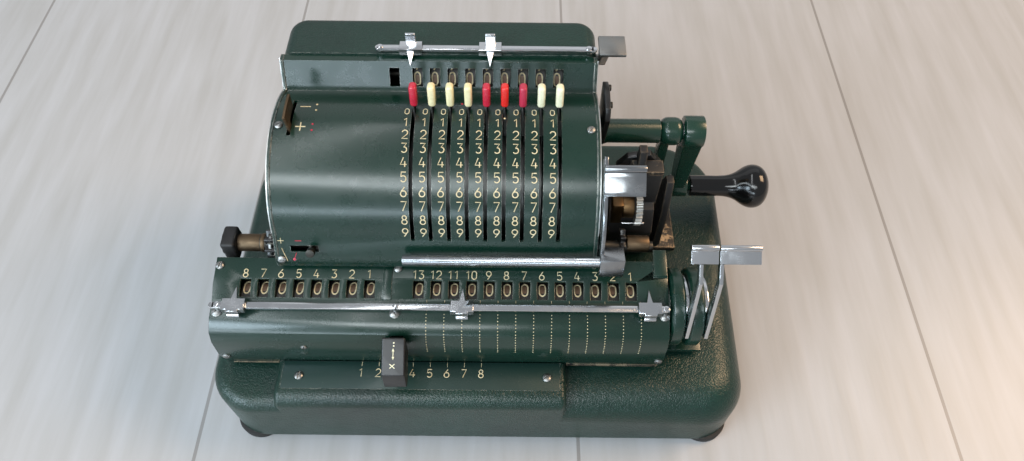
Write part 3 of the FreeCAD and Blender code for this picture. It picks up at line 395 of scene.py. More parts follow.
def makeMetalSkin():
    # plated or bare metal: fine scratches, smudges and pitting
    tree, given, result = startGroup("metal skin", {"Smooth": 0.15, "Smudge": 0.25, "Pits": 0.2},
                                     {"Roughness": "NodeSocketFloat", "Height": "NodeSocketFloat",
                                      "Tarnish": "NodeSocketFloat"})
    where = objectPlace(tree)
    stretch = addNode(tree, "ShaderNodeMapping", {"Vector": where, "Scale": (60.0, 900.0, 900.0)})
    lines = noise(tree, stretch.outputs[0], 2.0, 4.0)
    smeared = ramp(tree, noise(tree, where, 120.0, 6.0, 0.6), 0.42, 0.7)
    smudges = sum2(tree, "MULTIPLY", smeared, given.outputs["Smudge"])
    rough = sum2(tree, "ADD", given.outputs["Smooth"], smudges)
    rough = sum2(tree, "ADD", rough, sum2(tree, "MULTIPLY", lines, 0.06), clamp=True)
    pits = ramp(tree, noise(tree, where, 900.0, 3.0), 0.62, 0.72)
    pitted = sum2(tree, "MULTIPLY", pits, given.outputs["Pits"])
    tree.links.new(rough, result.inputs["Roughness"])
    height = sum2(tree, "SUBTRACT", sum2(tree, "MULTIPLY", lines, 0.3), pitted)
    tree.links.new(height, result.inputs["Height"])
    tree.links.new(sum2(tree, "MULTIPLY", smeared, pitted, clamp=True), result.inputs["Tarnish"])
    return tree


groups = {"wear": makeEdgeWear(), "paint": makePaintSkin(), "wrinkle": makeWrinkle(),
          "metal": makeMetalSkin()}


def startMaterial(name):
    material = bpy.data.materials.new(name)
    material.use_nodes = True
    tree = material.node_tree
    return material, tree, tree.nodes["Principled BSDF"]


def useGroup(tree, key, **inputs):
    item = tree.nodes.new("ShaderNodeGroup")
    item.node_tree = groups[key]
    for label, value in inputs.items():
        item.inputs[label.replace("_", " ")].default_value = value
    return item


def bump(tree, shader, height, distance, strength=1.0):
    feeds = {"Height": height, "Distance": distance, "Strength": strength}
    item = addNode(tree, "ShaderNodeBump", feeds)
    tree.links.new(item.outputs["Normal"], shader.inputs["Normal"])


def glossGreen(name, colour, dull, gloss=0.2, wear=0.0, width=0.0006, peel=0.00002):
    material, tree, shader = startMaterial(name)
    skin = useGroup(tree, "paint", Colour=colour, Dull_Colour=dull, Gloss=gloss)
    paint, rough = skin.outputs["Colour"], skin.outputs["Roughness"]
    if wear:
        edges = useGroup(tree, "wear", Width=width, Amount=wear)
        paint = blendColour(tree, edges.outputs["Mask"], paint, (0.42, 0.40, 0.36, 1))
        tree.links.new(edges.outputs["Mask"], shader.inputs["Metallic"])
        rough = sum2(tree, "MAXIMUM", rough, sum2(tree, "MULTIPLY", edges.outputs["Mask"], 0.35))
    tree.links.new(paint, shader.inputs["Base Color"])
    tree.links.new(rough, shader.inputs["Roughness"])
    shader.inputs["Coat Weight"].default_value = 0.3
    shader.inputs["Coat Roughness"].default_value = 0.16
    bump(tree, shader, skin.outputs["Height"], peel)
    return material


def wrinkleGreen(name, colour, dullAndShadeColour, scale=1150.0, wear=0.3):
    material, tree, shader = startMaterial(name)
    net = useGroup(tree, "wrinkle", Scale=scale)
    skin = useGroup(tree, "paint", Colour=colour, Dull_Colour=dullAndShadeColour, Gloss=0.3)
    # painted shade: the paint is darkened towards the second colour in the hollows of the wrinkle net;
    # that colour is also the paint's dull clouding
    shade = sum2(tree, "MULTIPLY", net.outputs["Hollow Shade"], 0.6)
    paint = blendColour(tree, shade, skin.outputs["Colour"], dullAndShadeColour)
    edges = useGroup(tree, "wear", Width=0.0012, Amount=wear, Break_Up=260.0)
    paint = blendColour(tree, edges.outputs["Mask"], paint, (0.28, 0.29, 0.26, 1))
    tree.links.new(paint, shader.inputs["Base Color"])
    tree.links.new(skin.outputs["Roughness"], shader.inputs["Roughness"])
    bump(tree, shader, net.outputs["Height"], 0.00017, 0.8)
    return material


def metal(name, colour, smooth=0.15, smudge=0.2, pits=0.2, dirt=(0.05, 0.045, 0.04, 1), relief=0.00003):
    material, tree, shader = startMaterial(name)
    skin = useGroup(tree, "metal", Smooth=smooth, Smudge=smudge, Pits=pits)
    tone = blendColour(tree, skin.outputs["Tarnish"], colour, dirt)
    tree.links.new(tone, shader.inputs["Base Color"])
    shader.inputs["Metallic"].default_value = 1.0
    tree.links.new(skin.outputs["Roughness"], shader.inputs["Roughness"])
    bump(tree, shader, skin.outputs["Height"], relief, 0.6)
    return material


def flaking(name, paint, bare, amount=0.5, scale=90.0):
    # old black paint that has come off in patches and along the edges
    material, tree, shader = startMaterial(name)
    where = objectPlace(tree)
    patch = noise(tree, where, scale, 9.0, 0.75)
    edges = useGroup(tree, "wear", Width=0.0016, Amount=0.9, Break_Up=300.0)
    bareMask = ramp(tree, patch, 0.72 - 0.35 * amount, 0.74 - 0.35 * amount)
    bareMask = sum2(tree, "MAXIMUM", bareMask, edges.outputs["Mask"])
    skin = useGroup(tree, "metal", Smooth=0.4, Smudge=0.3, Pits=0.6)
    tone = blendColour(tree, skin.outputs["Tarnish"], bare, tint(60, 48, 34))
    tree.links.new(blendColour(tree, bareMask, paint, tone), shader.inputs["Base Color"])
    tree.links.new(sum2(tree, "MULTIPLY", bareMask, 0.55), shader.inputs["Metallic"])
    tree.links.new(skin.outputs["Roughness"], shader.inputs["Roughness"])
    bump(tree, shader, sum2(tree, "SUBTRACT", patch, bareMask), 0.00012, 0.5)
    return material


def plain(name, colour, other, rough=0.4, scale=200.0, coat=0.0, relief=0.00003):
    # mottled between two near colours, for rubber, plastic and engraving paint
    material, tree, shader = startMaterial(name)
    where = objectPlace(tree)
    mottle = noise(tree, where, scale, 5.0, 0.6)
    patches = ramp(tree, mottle, 0.35, 0.68)
    duller = sum2(tree, "ADD", rough, sum2(tree, "MULTIPLY", patches, 0.12))
    tree.links.new(blendColour(tree, patches, colour, other), shader.inputs["Base Color"])
    tree.links.new(duller, shader.inputs["Roughness"])
    shader.inputs["Coat Weight"].default_value = coat
    bump(tree, shader, mottle, relief, 0.5)
    return material


def tint(red, green, blue):  # a colour given as seen on a screen, 0 to 255
    shares = [value / 255 for value in (red, green, blue)]
    return (*(v / 12.92 if v <= 0.04045 else ((v + 0.055) / 1.055) ** 2.4 for v in shares), 1)


finishes = {
    "cover": glossGreen("cover green", tint(4, 36, 27), tint(8, 43, 33), 0.26, wear=0.5),
    "frame": glossGreen("frame green", tint(8, 38, 31), tint(16, 46, 38), 0.32, wear=1.0, width=0.0014),
    "carriage": glossGreen("carriage green", tint(5, 36, 27), tint(9, 43, 33), 0.26, wear=0.7),
    "ledge": glossGreen("ledge green", tint(16, 42, 38), tint(22, 50, 44), 0.42, wear=0.3),
    "crank": glossGreen("crank green", tint(13, 46, 35), tint(20, 54, 41), 0.24, wear=0.3),
    # wrinkle green: its second colour is the dull clouding and also the painted shade in the wrinkle
    # hollows
    "wrinkle": wrinkleGreen("wrinkle green", tint(18, 52, 43), tint(8, 32, 26)),
    "chrome": metal("chrome", tint(206, 208, 211), 0.12, 0.12, 0.12),
    "polished": metal("polished steel", tint(152, 155, 158), 0.14, 0.16, 0.4, tint(84, 80, 72)),
    "worn": metal("worn chrome", tint(200, 201, 198), 0.26, 0.3, 0.5, tint(92, 84, 72)),
    "steel": metal("steel", tint(150, 150, 148), 0.3, 0.25, 0.4),
    "dark": metal("dark steel", tint(70, 68, 64), 0.35, 0.25, 0.4),
    "bronze": metal("bronze", tint(122, 98, 70), 0.34, 0.25, 0.5, tint(50, 38, 26)),
    "brass": metal("old brass", tint(104, 88, 70), 0.36, 0.3, 0.5, tint(44, 36, 28)),
    "black": plain("black enamel", tint(20, 20, 21), tint(30, 30, 30), 0.32, 120.0, 0.2),
    "flaked": flaking("flaked black", tint(26, 25, 24), tint(150, 134, 112), 0.5),
    "drive": flaking("drive block black", tint(24, 23, 23), tint(120, 104, 84), 0.12, 160.0),
    "key": plain("key black", tint(15, 15, 17), tint(22, 22, 23), 0.38, 90.0, 0.1, 0.00001),
    "knob": plain("knob black", tint(9, 9, 10), tint(14, 13, 13), 0.07, 60.0, 0.0, 0.00001),
    "rubber": plain("foot rubber", tint(26, 25, 25), tint(40, 38, 36), 0.7, 300.0),
    "cream": plain("engraving cream", tint(226, 212, 176), tint(188, 172, 132), 0.55, 900.0),
    "dial": plain("dial black", tint(20, 20, 19), tint(34, 33, 30), 0.45, 400.0),
    "red": plain("cap crimson", tint(196, 36, 62), tint(180, 28, 52), 0.22, 500.0, 0.4),
    "bright": plain("cap scarlet", tint(222, 40, 34), tint(206, 34, 30), 0.2, 500.0, 0.4),
    "rose": plain("cap rose", tint(186, 46, 74), tint(170, 40, 64), 0.3, 500.0, 0.3),
    "ivory": plain("cap ivory", tint(238, 228, 184), tint(226, 214, 166), 0.3, 500.0, 0.3),
    "brown": plain("wheel brown", tint(112, 88, 70), tint(94, 72, 56), 0.5, 700.0),
    "pale": plain("cap pale ivory", tint(240, 238, 208), tint(224, 220, 184), 0.35, 500.0, 0.2),
}
print("materials ready:", len(finishes))


# the machine's main forms
mainForms = {
    # node: (finish, edge in mm, body, slot)
    "base_tray": ("wrinkle", 0.0, "machine", "wrinkle_green"),
    "rear_cover": ("wrinkle", 0.0, "machine", "wrinkle_green"),
    "rubber_feet": ("rubber", 0.8, "machine", "rubber"),
    "scale_plate": ("ledge", 0.15, "machine", "green"),
    "housing_shell": ("cover", 0.0, "machine", "green"),
    "side_frames": ("frame", 0.4, "machine", "green"),
    "crank_bracket": ("crank", 0.5, "machine", "green"),
    "gear_bracket": ("drive", 0.4, "machine", "black"),
    "fixed_shafts": ("dark", 0.3, "machine", "steel"),
    "crank_arm": ("crank", 0.6, "crank_arm", "green"),
    "crank_knob": ("knob", 0.6, "crank_knob", "knob"),
    "carriage_shell": ("carriage", 0.3, "carriage", "green"),
    "clearing_lever_counter": ("chrome", 0.25, "clearing_lever_counter", "chrome"),
    "clearing_lever_result": ("chrome", 0.25, "clearing_lever_result", "chrome"),
    "carriage_key": ("key", 0.5, "carriage_key", "knob"),
    "reset_lever": ("polished", 0.3, "reset_lever", "chrome"),
    "transfer_lever": ("steel", 0.4, "transfer_lever", "chrome"),
    "sign_lever": ("brass", 0.2, "sign_lever", "bronze"),
    "direction_slider": ("dark", 0.3, "direction_slider", "chrome"),
}
for node, (finish, edge, body, slotName) in mainForms.items():
    finished(dressed(node, edge, clamp=False), finish, body)
    print("dressed", node)

for node, item in frame["nodes"].items():
    if item.hide_render:
        continue
    item.data.materials.clear()
    kind = "dial" if "dial" in node or "wheel" in node else "chrome" if "pointer" in node else "steel"
    item.data.materials.append(finishes[kind])


# pointer rails: a flat strip with round ends on posts
rails = {
    # name: x ends, y, underside, post places, bottom of the posts, body
    "pointer_rail": ((-151.5, 78.0), 36.0, 92.2, (-147.3, -58.4, 76.1), 87.6, "carriage"),
    "upper_rail": ((-71.5, 41.3), 148.85, 158.6, (-69.0, 37.1), 157.4, "machine"),
}
strip = {"half": 1.7, "thick": 1.5, "post": 1.6, "head": 0.7}
for node, ((x0, x1), y, z, posts, low, body) in rails.items():
    half, top = strip["half"], z + strip["thick"]
    pieces = [block("strip", x0 + half, x1 - half, y - half, y + half, z, top, 0.2)]
    for x in (x0 + half, x1 - half):
        pieces.append(pin("end", (x, y, z), (x, y, top), half, 24, 0.2))
    for x in posts:
        pieces.append(pin("post", (x, y, low), (x, y, top + strip["head"]), strip["post"], 24, 0.4))
    rail = joined(node.replace("_", ".") + ".finished", pieces)
    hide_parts(node)
    finished(rail, "chrome", body)


# pointers: softened blocks, and a rolled tab below each lower one
tabs = {"xs": (-139.0, -25.4, 68.0), "half": 3.0, "y": 32.3, "z": 90.3, "radius": 1.4}
for k, x in enumerate(tabs["xs"]):
    node = "lower_pointer_%d" % (k + 1)
    body = dressed(node, 0.15, 1)
    ends = [(x + side * tabs["half"], tabs["y"], tabs["z"]) for side in (-1, 1)]
    roll = pin("roll", *ends, tabs["radius"], 24)
    pointer = joined("lower.pointer.%d" % (k + 1), [body, roll])
    finished(pointer, "chrome", node)
for k in (1, 2):
    node = "upper_pointer_%d" % k
    finished(dressed(node, 0.15, 1), "chrome", node)


def toothedWheel(name, x0, x1, y, z, radius, teeth, depth, edge=0.0):
    outline = []
    for i in range(2 * teeth):
        reach = radius if i % 2 else radius - depth
        for lean in (-0.2, 0.2):
            turn = math.pi * (i + lean) / teeth
            outline.append((y + reach * math.sin(turn), z + reach * math.cos(turn)))
    return sideOutline(name, outline, x0, x1, edge)


# guide rod: end block, sleeve, ring and star wheel at the left, roller and star wheel at the right
rod = {
    "y": 71.5, "z": 95.7,
    "end": (-150.3, -142.7, 65.1, 78.0, 89.2, 102.1),  # x, y and z ends, as for every block
    "sleeve": (-142.7, -131.0, 4.6),  # x ends and radius
    "ring": (-131.0, -128.4, 5.0),
    "star": (-127.6, -121.6, 8.0, 8, 3.0),  # x ends, radius, teeth and their depth
    "starRing": (-125.6, -124.2, 7.0),
    "passing": 68.45,  # the carriage's end tab passes in front of this y
    "roller": (58.4, 70.0, 96.4, 4.4),  # x ends, z and radius
    "smallStar": (54.9, 57.6, 97.4, 6.2, 7, 2.4),
}


def rodPiece(name, x0, x1, radius, finish, slotName, edge=0.4):
    piece = pin(name, (x0, rod["y"], rod["z"]), (x1, rod["y"], rod["z"]), radius, 40, edge)
    return onMachine(piece, finish)


onMachine(block("rod.end", *rod["end"], 1.6, 4), "drive")
rodPiece("rod.sleeve", *rod["sleeve"], "brass", "bronze")
rodPiece("rod.ring", *rod["ring"], "brass", "bronze", 0.8)
x0, x1, radius, teeth, depth = rod["star"]
star = toothedWheel("rod.star", x0, x1, rod["y"], rod["z"], radius, teeth, depth, 0.3)
onMachine(star, "black")
rodPiece("rod.star.ring", *rod["starRing"], "steel", "steel", 0.2)
x0, x1, z, radius = rod["roller"]
y = rod["passing"] + radius
onMachine(pin("rod.roller", (x0, y, z), (x1, y, z), radius, 40, 0.8), "brass")
x0, x1, z, radius, teeth, depth = rod["smallStar"]
star = toothedWheel("rod.small.star", x0, x1, rod["passing"] + radius, z, radius, teeth, depth, 0.3)
onMachine(star, "black")


# drive block: hood, worn top, bronze cheek, roller, toothed wheel, worn floor plate
# and the plate beside the housing
drive = {
    "hood": [(53.5, 108, 100), (53.5, 108, 116.5), (58.4, 108, 123.6), (70.0, 108, 126.2),
             (74.0, 108, 120), (74.0, 108, 100)],
    "hoodDeep": 4,
    "top": (60.6, 76.4, 98.4, 106.6, 121.6, 123.6),
    "cheek": (52.0, 57.6, 90.6, 104.0, 84.0, 105.0),
    "roller": ((57.6, 95.5, 98.5), (63.6, 95.5, 98.5), 6.4),  # its ends and radius
    "wheel": (64.2, 67.6, 97.0, 97.5, 11.2, 26, 1.3),  # x ends, y, z, radius, teeth and their depth
    "pin": ((57.6, 88.4, 92.6), (69.5, 88.4, 92.6), 0.7),
    "floor": (47.6, 95.3, 100.2, 139.8, 49.6, 50.6),
    "side": [(141.0, 145.4), (133.0, 148.6), (120.0, 147.2), (117.0, 141.0), (124.0, 116.0),
             (140.0, 116.0)],
    "sideXs": (45.0, 48.0),
    "bolts": [(136.5, 145.2), (125.0, 144.6)],
}
onMachine(sheetPiece("drive.hood", drive["hood"], (0, drive["hoodDeep"], 0), 0.6, 3), "black")
onMachine(block("drive.top", *drive["top"]), "flaked")
onMachine(block("drive.cheek", *drive["cheek"], 0.5), "bronze")
onMachine(pin("drive.roller", *drive["roller"], 40, 0.5), "bronze")
onMachine(toothedWheel("drive.wheel", *drive["wheel"]), "worn")
onMachine(pin("drive.pin", *drive["pin"], 16), "chrome")
onMachine(block("drive.floor", *drive["floor"]), "flaked")
onMachine(sideOutline("drive.side", drive["side"], *drive["sideXs"], 0.6, 3), "black")
bolts = [pin("bolt", (47.8, y, z), (49.2, y, z), 1.7, 20, 0.3) for y, z in drive["bolts"]]
onMachine(joined("drive.bolts", bolts), "dark")

# bare metal line along the outer edge of each side plate
plateEdge = {"out": 0.56, "wide": 0.5, "xs": {"left": -119.84, "right": 41.34}}
outer = [aroundDrum(drum["cover"] + plateEdge["out"], -70 + 7 * k) for k in range(15)]
outer += [(135.5, 142.9), (143.1, 157.2)]
inner = [(y + 0.2, z - 0.4) for y, z in reversed(outer)]
for side, x in plateEdge["xs"].items():
    line = sideOutline("plate.edge." + side, outer + inner, x, x + plateEdge["wide"], 0)
    onMachine(line, "worn")

# carriage: raised rib on the slope, bare strips along its lower front edge
slopeRib = [(41.9, 89.7), (48.8, 93.1), (62.0, 95.9), (62.0, 95.0), (48.8, 92.2), (41.9, 88.8)]
rib = sideOutline("carriage.rib", slopeRib, -66.4, -61.7, 0.15)
finished(rib, "carriage", "carriage")
bareEdges = [(-149.0, -124.8, 51.7), (28.6, 77.0, 53.0)]  # x ends and top
strips = [block("strip", x0, x1, 24.15, 24.6, 50.7, top, 0.1) for x0, x1, top in bareEdges]
finished(joined("carriage.bare.edge", strips), "flaked", "carriage")
print("small parts done")


# lettering and small hardware, each drawn once and copied
def bow(x, y, across, up, first, last, steps=12):
    turns = [math.radians(first + (last - first) * i / steps) for i in range(steps + 1)]
    return [(x + across * math.cos(turn), y + up * math.sin(turn)) for turn in turns]


six = [(0.13, 0.5)] + bow(0, -0.2, 0.29, 0.3, 145, 505, 18)
strokes = {
    "0": [bow(0, 0.2, 0.27, 0.3, 0, 180, 10) + bow(0, -0.2, 0.27, 0.3, 180, 360, 10) + [(0.27, 0.2)]],
    "1": [[(-0.18, 0.3), (0.06, 0.5), (0.06, -0.5)]],
    "2": [bow(0, 0.2, 0.28, 0.3, 165, -40) + [(-0.29, -0.5), (0.31, -0.5)]],
    "3": [[(-0.27, 0.5), (0.26, 0.5), (-0.02, 0.1)] + bow(0, -0.2, 0.29, 0.3, 85, -145)],
    "4": [[(0.0, 0.5), (-0.31, -0.24), (0.33, -0.24)], [(0.14, 0.08), (0.14, -0.5)]],
    "5": [[(0.27, 0.5), (-0.2, 0.5), (-0.24, 0.06)] + bow(0, -0.19, 0.29, 0.31, 125, -145)],
    "6": [six],
    "7": [[(-0.29, 0.5), (0.29, 0.5), (-0.12, -0.5)]],
    "8": [bow(0, 0.26, 0.22, 0.24, -90, 270), bow(0, -0.24, 0.28, 0.26, 90, 450)],
    "9": [[(-x, -y) for x, y in six]],
    "+": [[(-0.5, 0), (0.5, 0)], [(0, -0.5), (0, 0.5)]],
    "-": [[(-0.5, 0), (0.5, 0)]],
    "x": [[(-0.4, -0.4), (0.4, 0.4)], [(-0.4, 0.4), (0.4, -0.4)]],
}


def strokePiece(name, lines, weight):
    # round strokes through points in space
    drawn = []
    for points in lines:
        piece = chainStart(points[0])
        chainOn(points)
        take(piece)
        bpy.ops.object.convert(target="CURVE")
        curve = bpy.context.object.data
        curve.dimensions, curve.fill_mode, curve.use_fill_caps = "3D", "FULL", True
        curve.bevel_depth, curve.bevel_resolution = weight / 2000, 1
        bpy.ops.object.convert(target="MESH")
        drawn.append(bpy.context.object)
    piece = joined(name, drawn)
    bpy.ops.object.shade_smooth_by_angle(angle=math.radians(50))
    return piece


def laid(master, name, where, up, scale=(1, 1, 1), turn=0.0):
    # a copy of a piece drawn flat at the zero point, laid on a surface
    # up is the way its top points, in Y and Z
    top = Vector((0, *up)).normalized()
    normal = Vector((1, 0, 0)).cross(top)
    axes = Matrix(((1, 0, 0), top, normal)).transposed().to_4x4()
    spin = Matrix.Rotation(math.radians(turn), 4, "Z")
    other = twin(master)
    other.matrix_world = (Matrix.Translation(place(*where)) @ axes @ spin
                          @ Matrix.Diagonal((*scale, 1)) @ Matrix.Translation(-zero))
    return named(fixPlace(other), name)


glyphs = {}
lettering = {"drawn": 10.0, "weight": 1.15, "proud": 0.16, "advance": 0.74}


def glyph(sign):
    if sign not in glyphs:
        size = lettering["drawn"]
        lines = [[(x * size, y * size, 0) for x, y in line] for line in strokes[sign]]
        piece = strokePiece("glyph", lines, lettering["weight"])
        take(piece)
        bpy.ops.transform.resize(value=(1, 1, 2 * lettering["proud"] / lettering["weight"]),
                                 center_override=place(0, 0, 0))
        glyphs[sign] = fixPlace(piece)
    return glyphs[sign]


def stamped(text, height, where, up):
    share = height / lettering["drawn"]
    step = lettering["advance"] * height
    first = where[0] - (len(text) - 1) / 2 * step
    return [laid(glyph(sign), "stamp", (first + i * step, where[1], where[2]), up, (share, share, 1))
            for i, sign in enumerate(text)]


def dots(places, radius, up):
    spot = pin("dot", (0, 0, -0.1), (0, 0, 0.14), radius, 12, 0.05)
    laidOut = [laid(spot, "dot", where, up) for where in places]
    clearAway(spot)
    return laidOut


def makeScrew(name, radius, high, slotWide):
    # cheese head with a domed top and a slot, drawn at the zero point
    profile = [(-0.4, 0), (-0.4, radius), (high * 0.45, radius), (high * 0.8, radius * 0.8),
               (high, radius * 0.4), (high * 1.04, 0)]
    head = turnedPiece(name, profile, (0, 0, 0), (0, 0, 1), 32)
    reach, half = 2 * radius, slotWide / 2
    groove = block("groove", -reach, reach, -half, half, high * 0.45, 2 * high, 0)
    cutAway(head, [groove])
    return softened(head, 0.05, 1)


def outlineAt(outline, distance):
    # the point that far along an outline in Y and Z, and the way the outline runs there
    for (y0, z0), (y1, z1) in zip(outline, outline[1:]):
        length = math.hypot(y1 - y0, z1 - z0)
        way = ((y1 - y0) / length, (z1 - z0) / length)
        if distance <= length:
            share = distance / length
            return (y0 + share * (y1 - y0), z0 + share * (z1 - z0)), way
        distance -= length
    return outline[-1], way


carriageFace = [(22.3, 65.0), (23.2, 77.0), (25.7, 83.0), (32.0, 87.0), (41.3, 89.0), (48.8, 92.7),
                (62.5, 95.6)]


def onCarriage(y):  # height of the carriage's sloping top there, and the way it runs
    for (y0, z0), (y1, z1) in zip(carriageFace, carriageFace[1:]):
        if y0 <= y <= y1:
            return z0 + (y - y0) / (y1 - y0) * (z1 - z0), (y1 - y0, z1 - z0)


def onCover(x, angle, out=0.04):
    return (x, *aroundDrum(drum["cover"] + out, angle))


def alongCover(angle):
    return math.cos(math.radians(angle)), -math.sin(math.radians(angle))


# cover: numerals beside the slots, signs beside the small lever
cover = {"beside": 3.4, "first": 4.8, "step": 8.2, "height": 4.7, "nought": 0.8, "out": 0.06}
signs = []
for x in settingXs:
    for digit in range(10):
        angle = cover["first"] - cover["step"] * digit
        height = cover["height"] * (1 if digit else cover["nought"])
        spot = onCover(x - cover["beside"], angle, cover["out"])
        signs += stamped(str(digit), height, spot, alongCover(angle))
signs += dots([onCover(-5.2, 0, 0)], 0.5, (1, 0))
signs += stamped("-", 5.2, onCover(-104.5, 8.1), alongCover(8.1))
signs += stamped("+", 5.0, onCover(-104.9, -7.2), alongCover(-7.2))
signs += dots([onCover(-99.1, 10.1), onCover(-98.8, 5.1)], 0.55, alongCover(8))
apron = [(57.0, 101.0), aroundDrum(drum["cover"], -72.0)]
apronWay = (apron[1][0] - apron[0][0], apron[1][1] - apron[0][1])


def onApron(x, share):
    return x, apron[0][0] + share * apronWay[0] - 0.03, apron[0][1] + share * apronWay[1] + 0.02


signs += stamped("+", 3.0, onApron(-116.0, 0.8), apronWay)
signs.append(strokePiece("v line", [[onApron(-116.0, 0.52), onApron(-113.7, 0.02)]], 0.32))
onMachine(joined("cover.signs", signs), "cream")

redSigns = dots([onCover(-99.1, -5.5), onCover(-99.1, -9.5)], 0.5, alongCover(-7))
redSigns += dots([onApron(-110.2, 0.09)], 0.75, apronWay)
redSigns += stamped("-", 3.2, onApron(-107.3, 0.8), apronWay)
redSigns.append(strokePiece("v line", [[onApron(-108.8, 0.35), onApron(-110.1, 0.12)]], 0.32))
redSigns += dots([onCover(-26.7, 12.0)], 0.6, alongCover(12))
onMachine(joined("cover.red.signs", redSigns), "red")

# carriage: column numbers, dotted lines that fall from the rail, small ticks
labels = {"left": 0.4, "y": 54.2, "height": 4.3, "out": 0.05}
labelZ, labelWay = onCarriage(labels["y"])
marks = []
for xs in (resultXs, counterXs):
    for k, x in enumerate(xs):
        spot = (x - labels["left"], labels["y"], labelZ + labels["out"])
        marks += stamped(str(k + 1), labels["height"], spot, labelWay)
falling = {"low": 5.5, "high": 29.0, "count": 15}
lineX = resultXs[0] + pitch / 2
fall = []
for k in range(falling["count"]):
    run = falling["low"] + (falling["high"] - falling["low"]) * k / (falling["count"] - 1)
    (y, z), way = outlineAt(carriageFace, run)
    fall += dots([(lineX, y - 0.02, z + 0.02)], 0.26, way)
fall.append(laid(glyph("-"), "tick", (lineX, 41.6, 89.2), (1, 0.3), (0.13, 0.13, 1), 90))
line = joined("line", fall)
marks.append(line)
marks += [copied(line, "line", (-pitch * k, 0, 0)) for k in range(1, 13)]
finished(joined("carriage.marks", marks), "cream", "carriage")

# ledge: place numbers with a tick above each
ledge = {"top": 55.0, "y": 17.2, "height": 4.4, "tickY": 22.0, "first": -79.6, "places": 8}
marks = []
for k in range(ledge["places"]):
    x = ledge["first"] + pitch * k
    tickAt = (x + 0.1, ledge["tickY"], ledge["top"])
    marks += stamped(str(k + 1), ledge["height"], (x, ledge["y"], ledge["top"]), (1, 0))
    marks.append(laid(glyph("-"), "tick", tickAt, (1, 0), (0.24, 0.24, 0.8), 90))
onMachine(joined("ledge.numbers", marks), "cream")

# key: two dots, a double-headed arrow and two crosses that overlap, on its sloping face
key = {"x": -58.5, "low": (5.0, 80.3), "high": (21.3, 90.0), "crosses": (-0.5, -0.3)}
keyWay = (key["high"][0] - key["low"][0], key["high"][1] - key["low"][1])


def onKey(x, share):
    y, z = key["low"][0] + share * keyWay[0], key["low"][1] + share * keyWay[1]
    return key["x"] + x, y - 0.02, z + 0.04


marks = dots([onKey(0.3, 0.84), onKey(0.3, 0.76)], 0.4, keyWay)
marks.append(strokePiece("shaft", [[onKey(0.1, 0.66), onKey(-0.1, 0.44)]], 0.4))
for share, tip in ((0.69, 0.62), (0.41, 0.48)):
    marks.append(strokePiece("head", [[onKey(-0.45, tip), onKey(0, share), onKey(0.45, tip)]], 0.5))
for x in key["crosses"]:
    marks.append(laid(glyph("x"), "cross", onKey(x, 0.24), keyWay, (0.3, 0.26, 1)))
finished(joined("key.marks", marks), "pale", "carriage_key")
print("lettering done")

# screws
smallScrew = makeScrew("small screw", 1.6, 0.9, 0.42)
bigScrew = makeScrew("big screw", 2.1, 1.2, 0.5)
domeScrew = makeScrew("dome screw", 2.6, 2.0, 0.45)
slopeWay, wallWay, flatWay = onCarriage(57)[1], (0, 1), (1, 0)
domes = {"xs": (-148.9, -59.6, 76.1), "y": 35.2, "sunk": 0.3}
domeZ, domeWay = onCarriage(domes["y"])
carriageScrews = [
    # screw, place, way up, turn of its slot
    (bigScrew, (-150.2, 58.0, 94.7), slopeWay, 70),
    (bigScrew, (-59.0, 57.3, 94.5), slopeWay, 20),
    (bigScrew, (-149.0, 22.6, 62.7), wallWay, 35),
    (bigScrew, (76.0, 22.7, 61.0), wallWay, -30),
    (smallScrew, (-106.4, 22.9, 73.3), wallWay, 80),
] + [(domeScrew, (x, domes["y"], domeZ - domes["sunk"]), domeWay, x * 7) for x in domes["xs"]]
machineScrews = [
    # place, way up, size, turn of its slot
    ((-112.0, 15.2, ledge["top"]), flatWay, 1.1, 80),
    ((18.1, 15.2, ledge["top"]), flatWay, 1.1, 30),
    (onCover(-115.6, -6.4, 0), alongCover(-6.4), 1, 30),
    (onCover(37.2, -7.6, 0), alongCover(-7.6), 1, 60),
    (onApron(-116.6, 0.08), apronWay, 1, 10),
]
heads = [laid(screw, "screw", where, way, turn=turn) for screw, where, way, turn in carriageScrews]
finished(joined("carriage.screws", heads), "steel", "carriage")
heads = [laid(bigScrew, "screw", where, way, (size, size, 1), turn)
         for where, way, size, turn in machineScrews]
onMachine(joined("machine.screws", heads), "steel")
clearAway(smallScrew, bigScrew, domeScrew, *glyphs.values())
print("screws done")

# setting levers: toothed wheel with its stem, and a plastic cap
cap = {"wide": 3.8, "deep": 5.6, "foot": 52.0, "tip": 64.0, "lean": 8.5}
colours = ["pale", "pale", "rose", "bright", "red", "ivory", "ivory", "ivory", "red"]
wheel = named(dressed("setting_lever_1", 0), "setting.wheel.1")
hub = place(0, drum["y"], drum["z"])
stemEnd = (cap["foot"] - 0.1) / 1000
pickFaces(wheel, lambda middle: math.hypot(middle.y - hub.y, middle.z - hub.z) > stemEnd)
bpy.ops.mesh.delete(type="FACE")
halfWide, halfDeep = cap["wide"] / 2, cap["deep"] / 2
capPiece = block("cap", -halfWide, halfWide, drum["y"] - halfDeep, drum["y"] + halfDeep,
                 drum["z"] + cap["foot"], drum["z"] + cap["tip"], 1.5, 5)
swung(capPiece, cap["lean"])
for k, x in enumerate(settingXs):
    node = "setting_lever_%d" % (k + 1)
    if k:
        other = copied(wheel, "setting.wheel.%d" % (k + 1), (x - settingXs[0], 0, 0))
        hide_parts(node)
    else:
        other = wheel
    finished(other, "steel", node)
    finished(copied(capPiece, "setting.cap.%d" % (k + 1), (x, 0, 0)), colours[k], node)
clearAway(capPiece)
print("levers done")


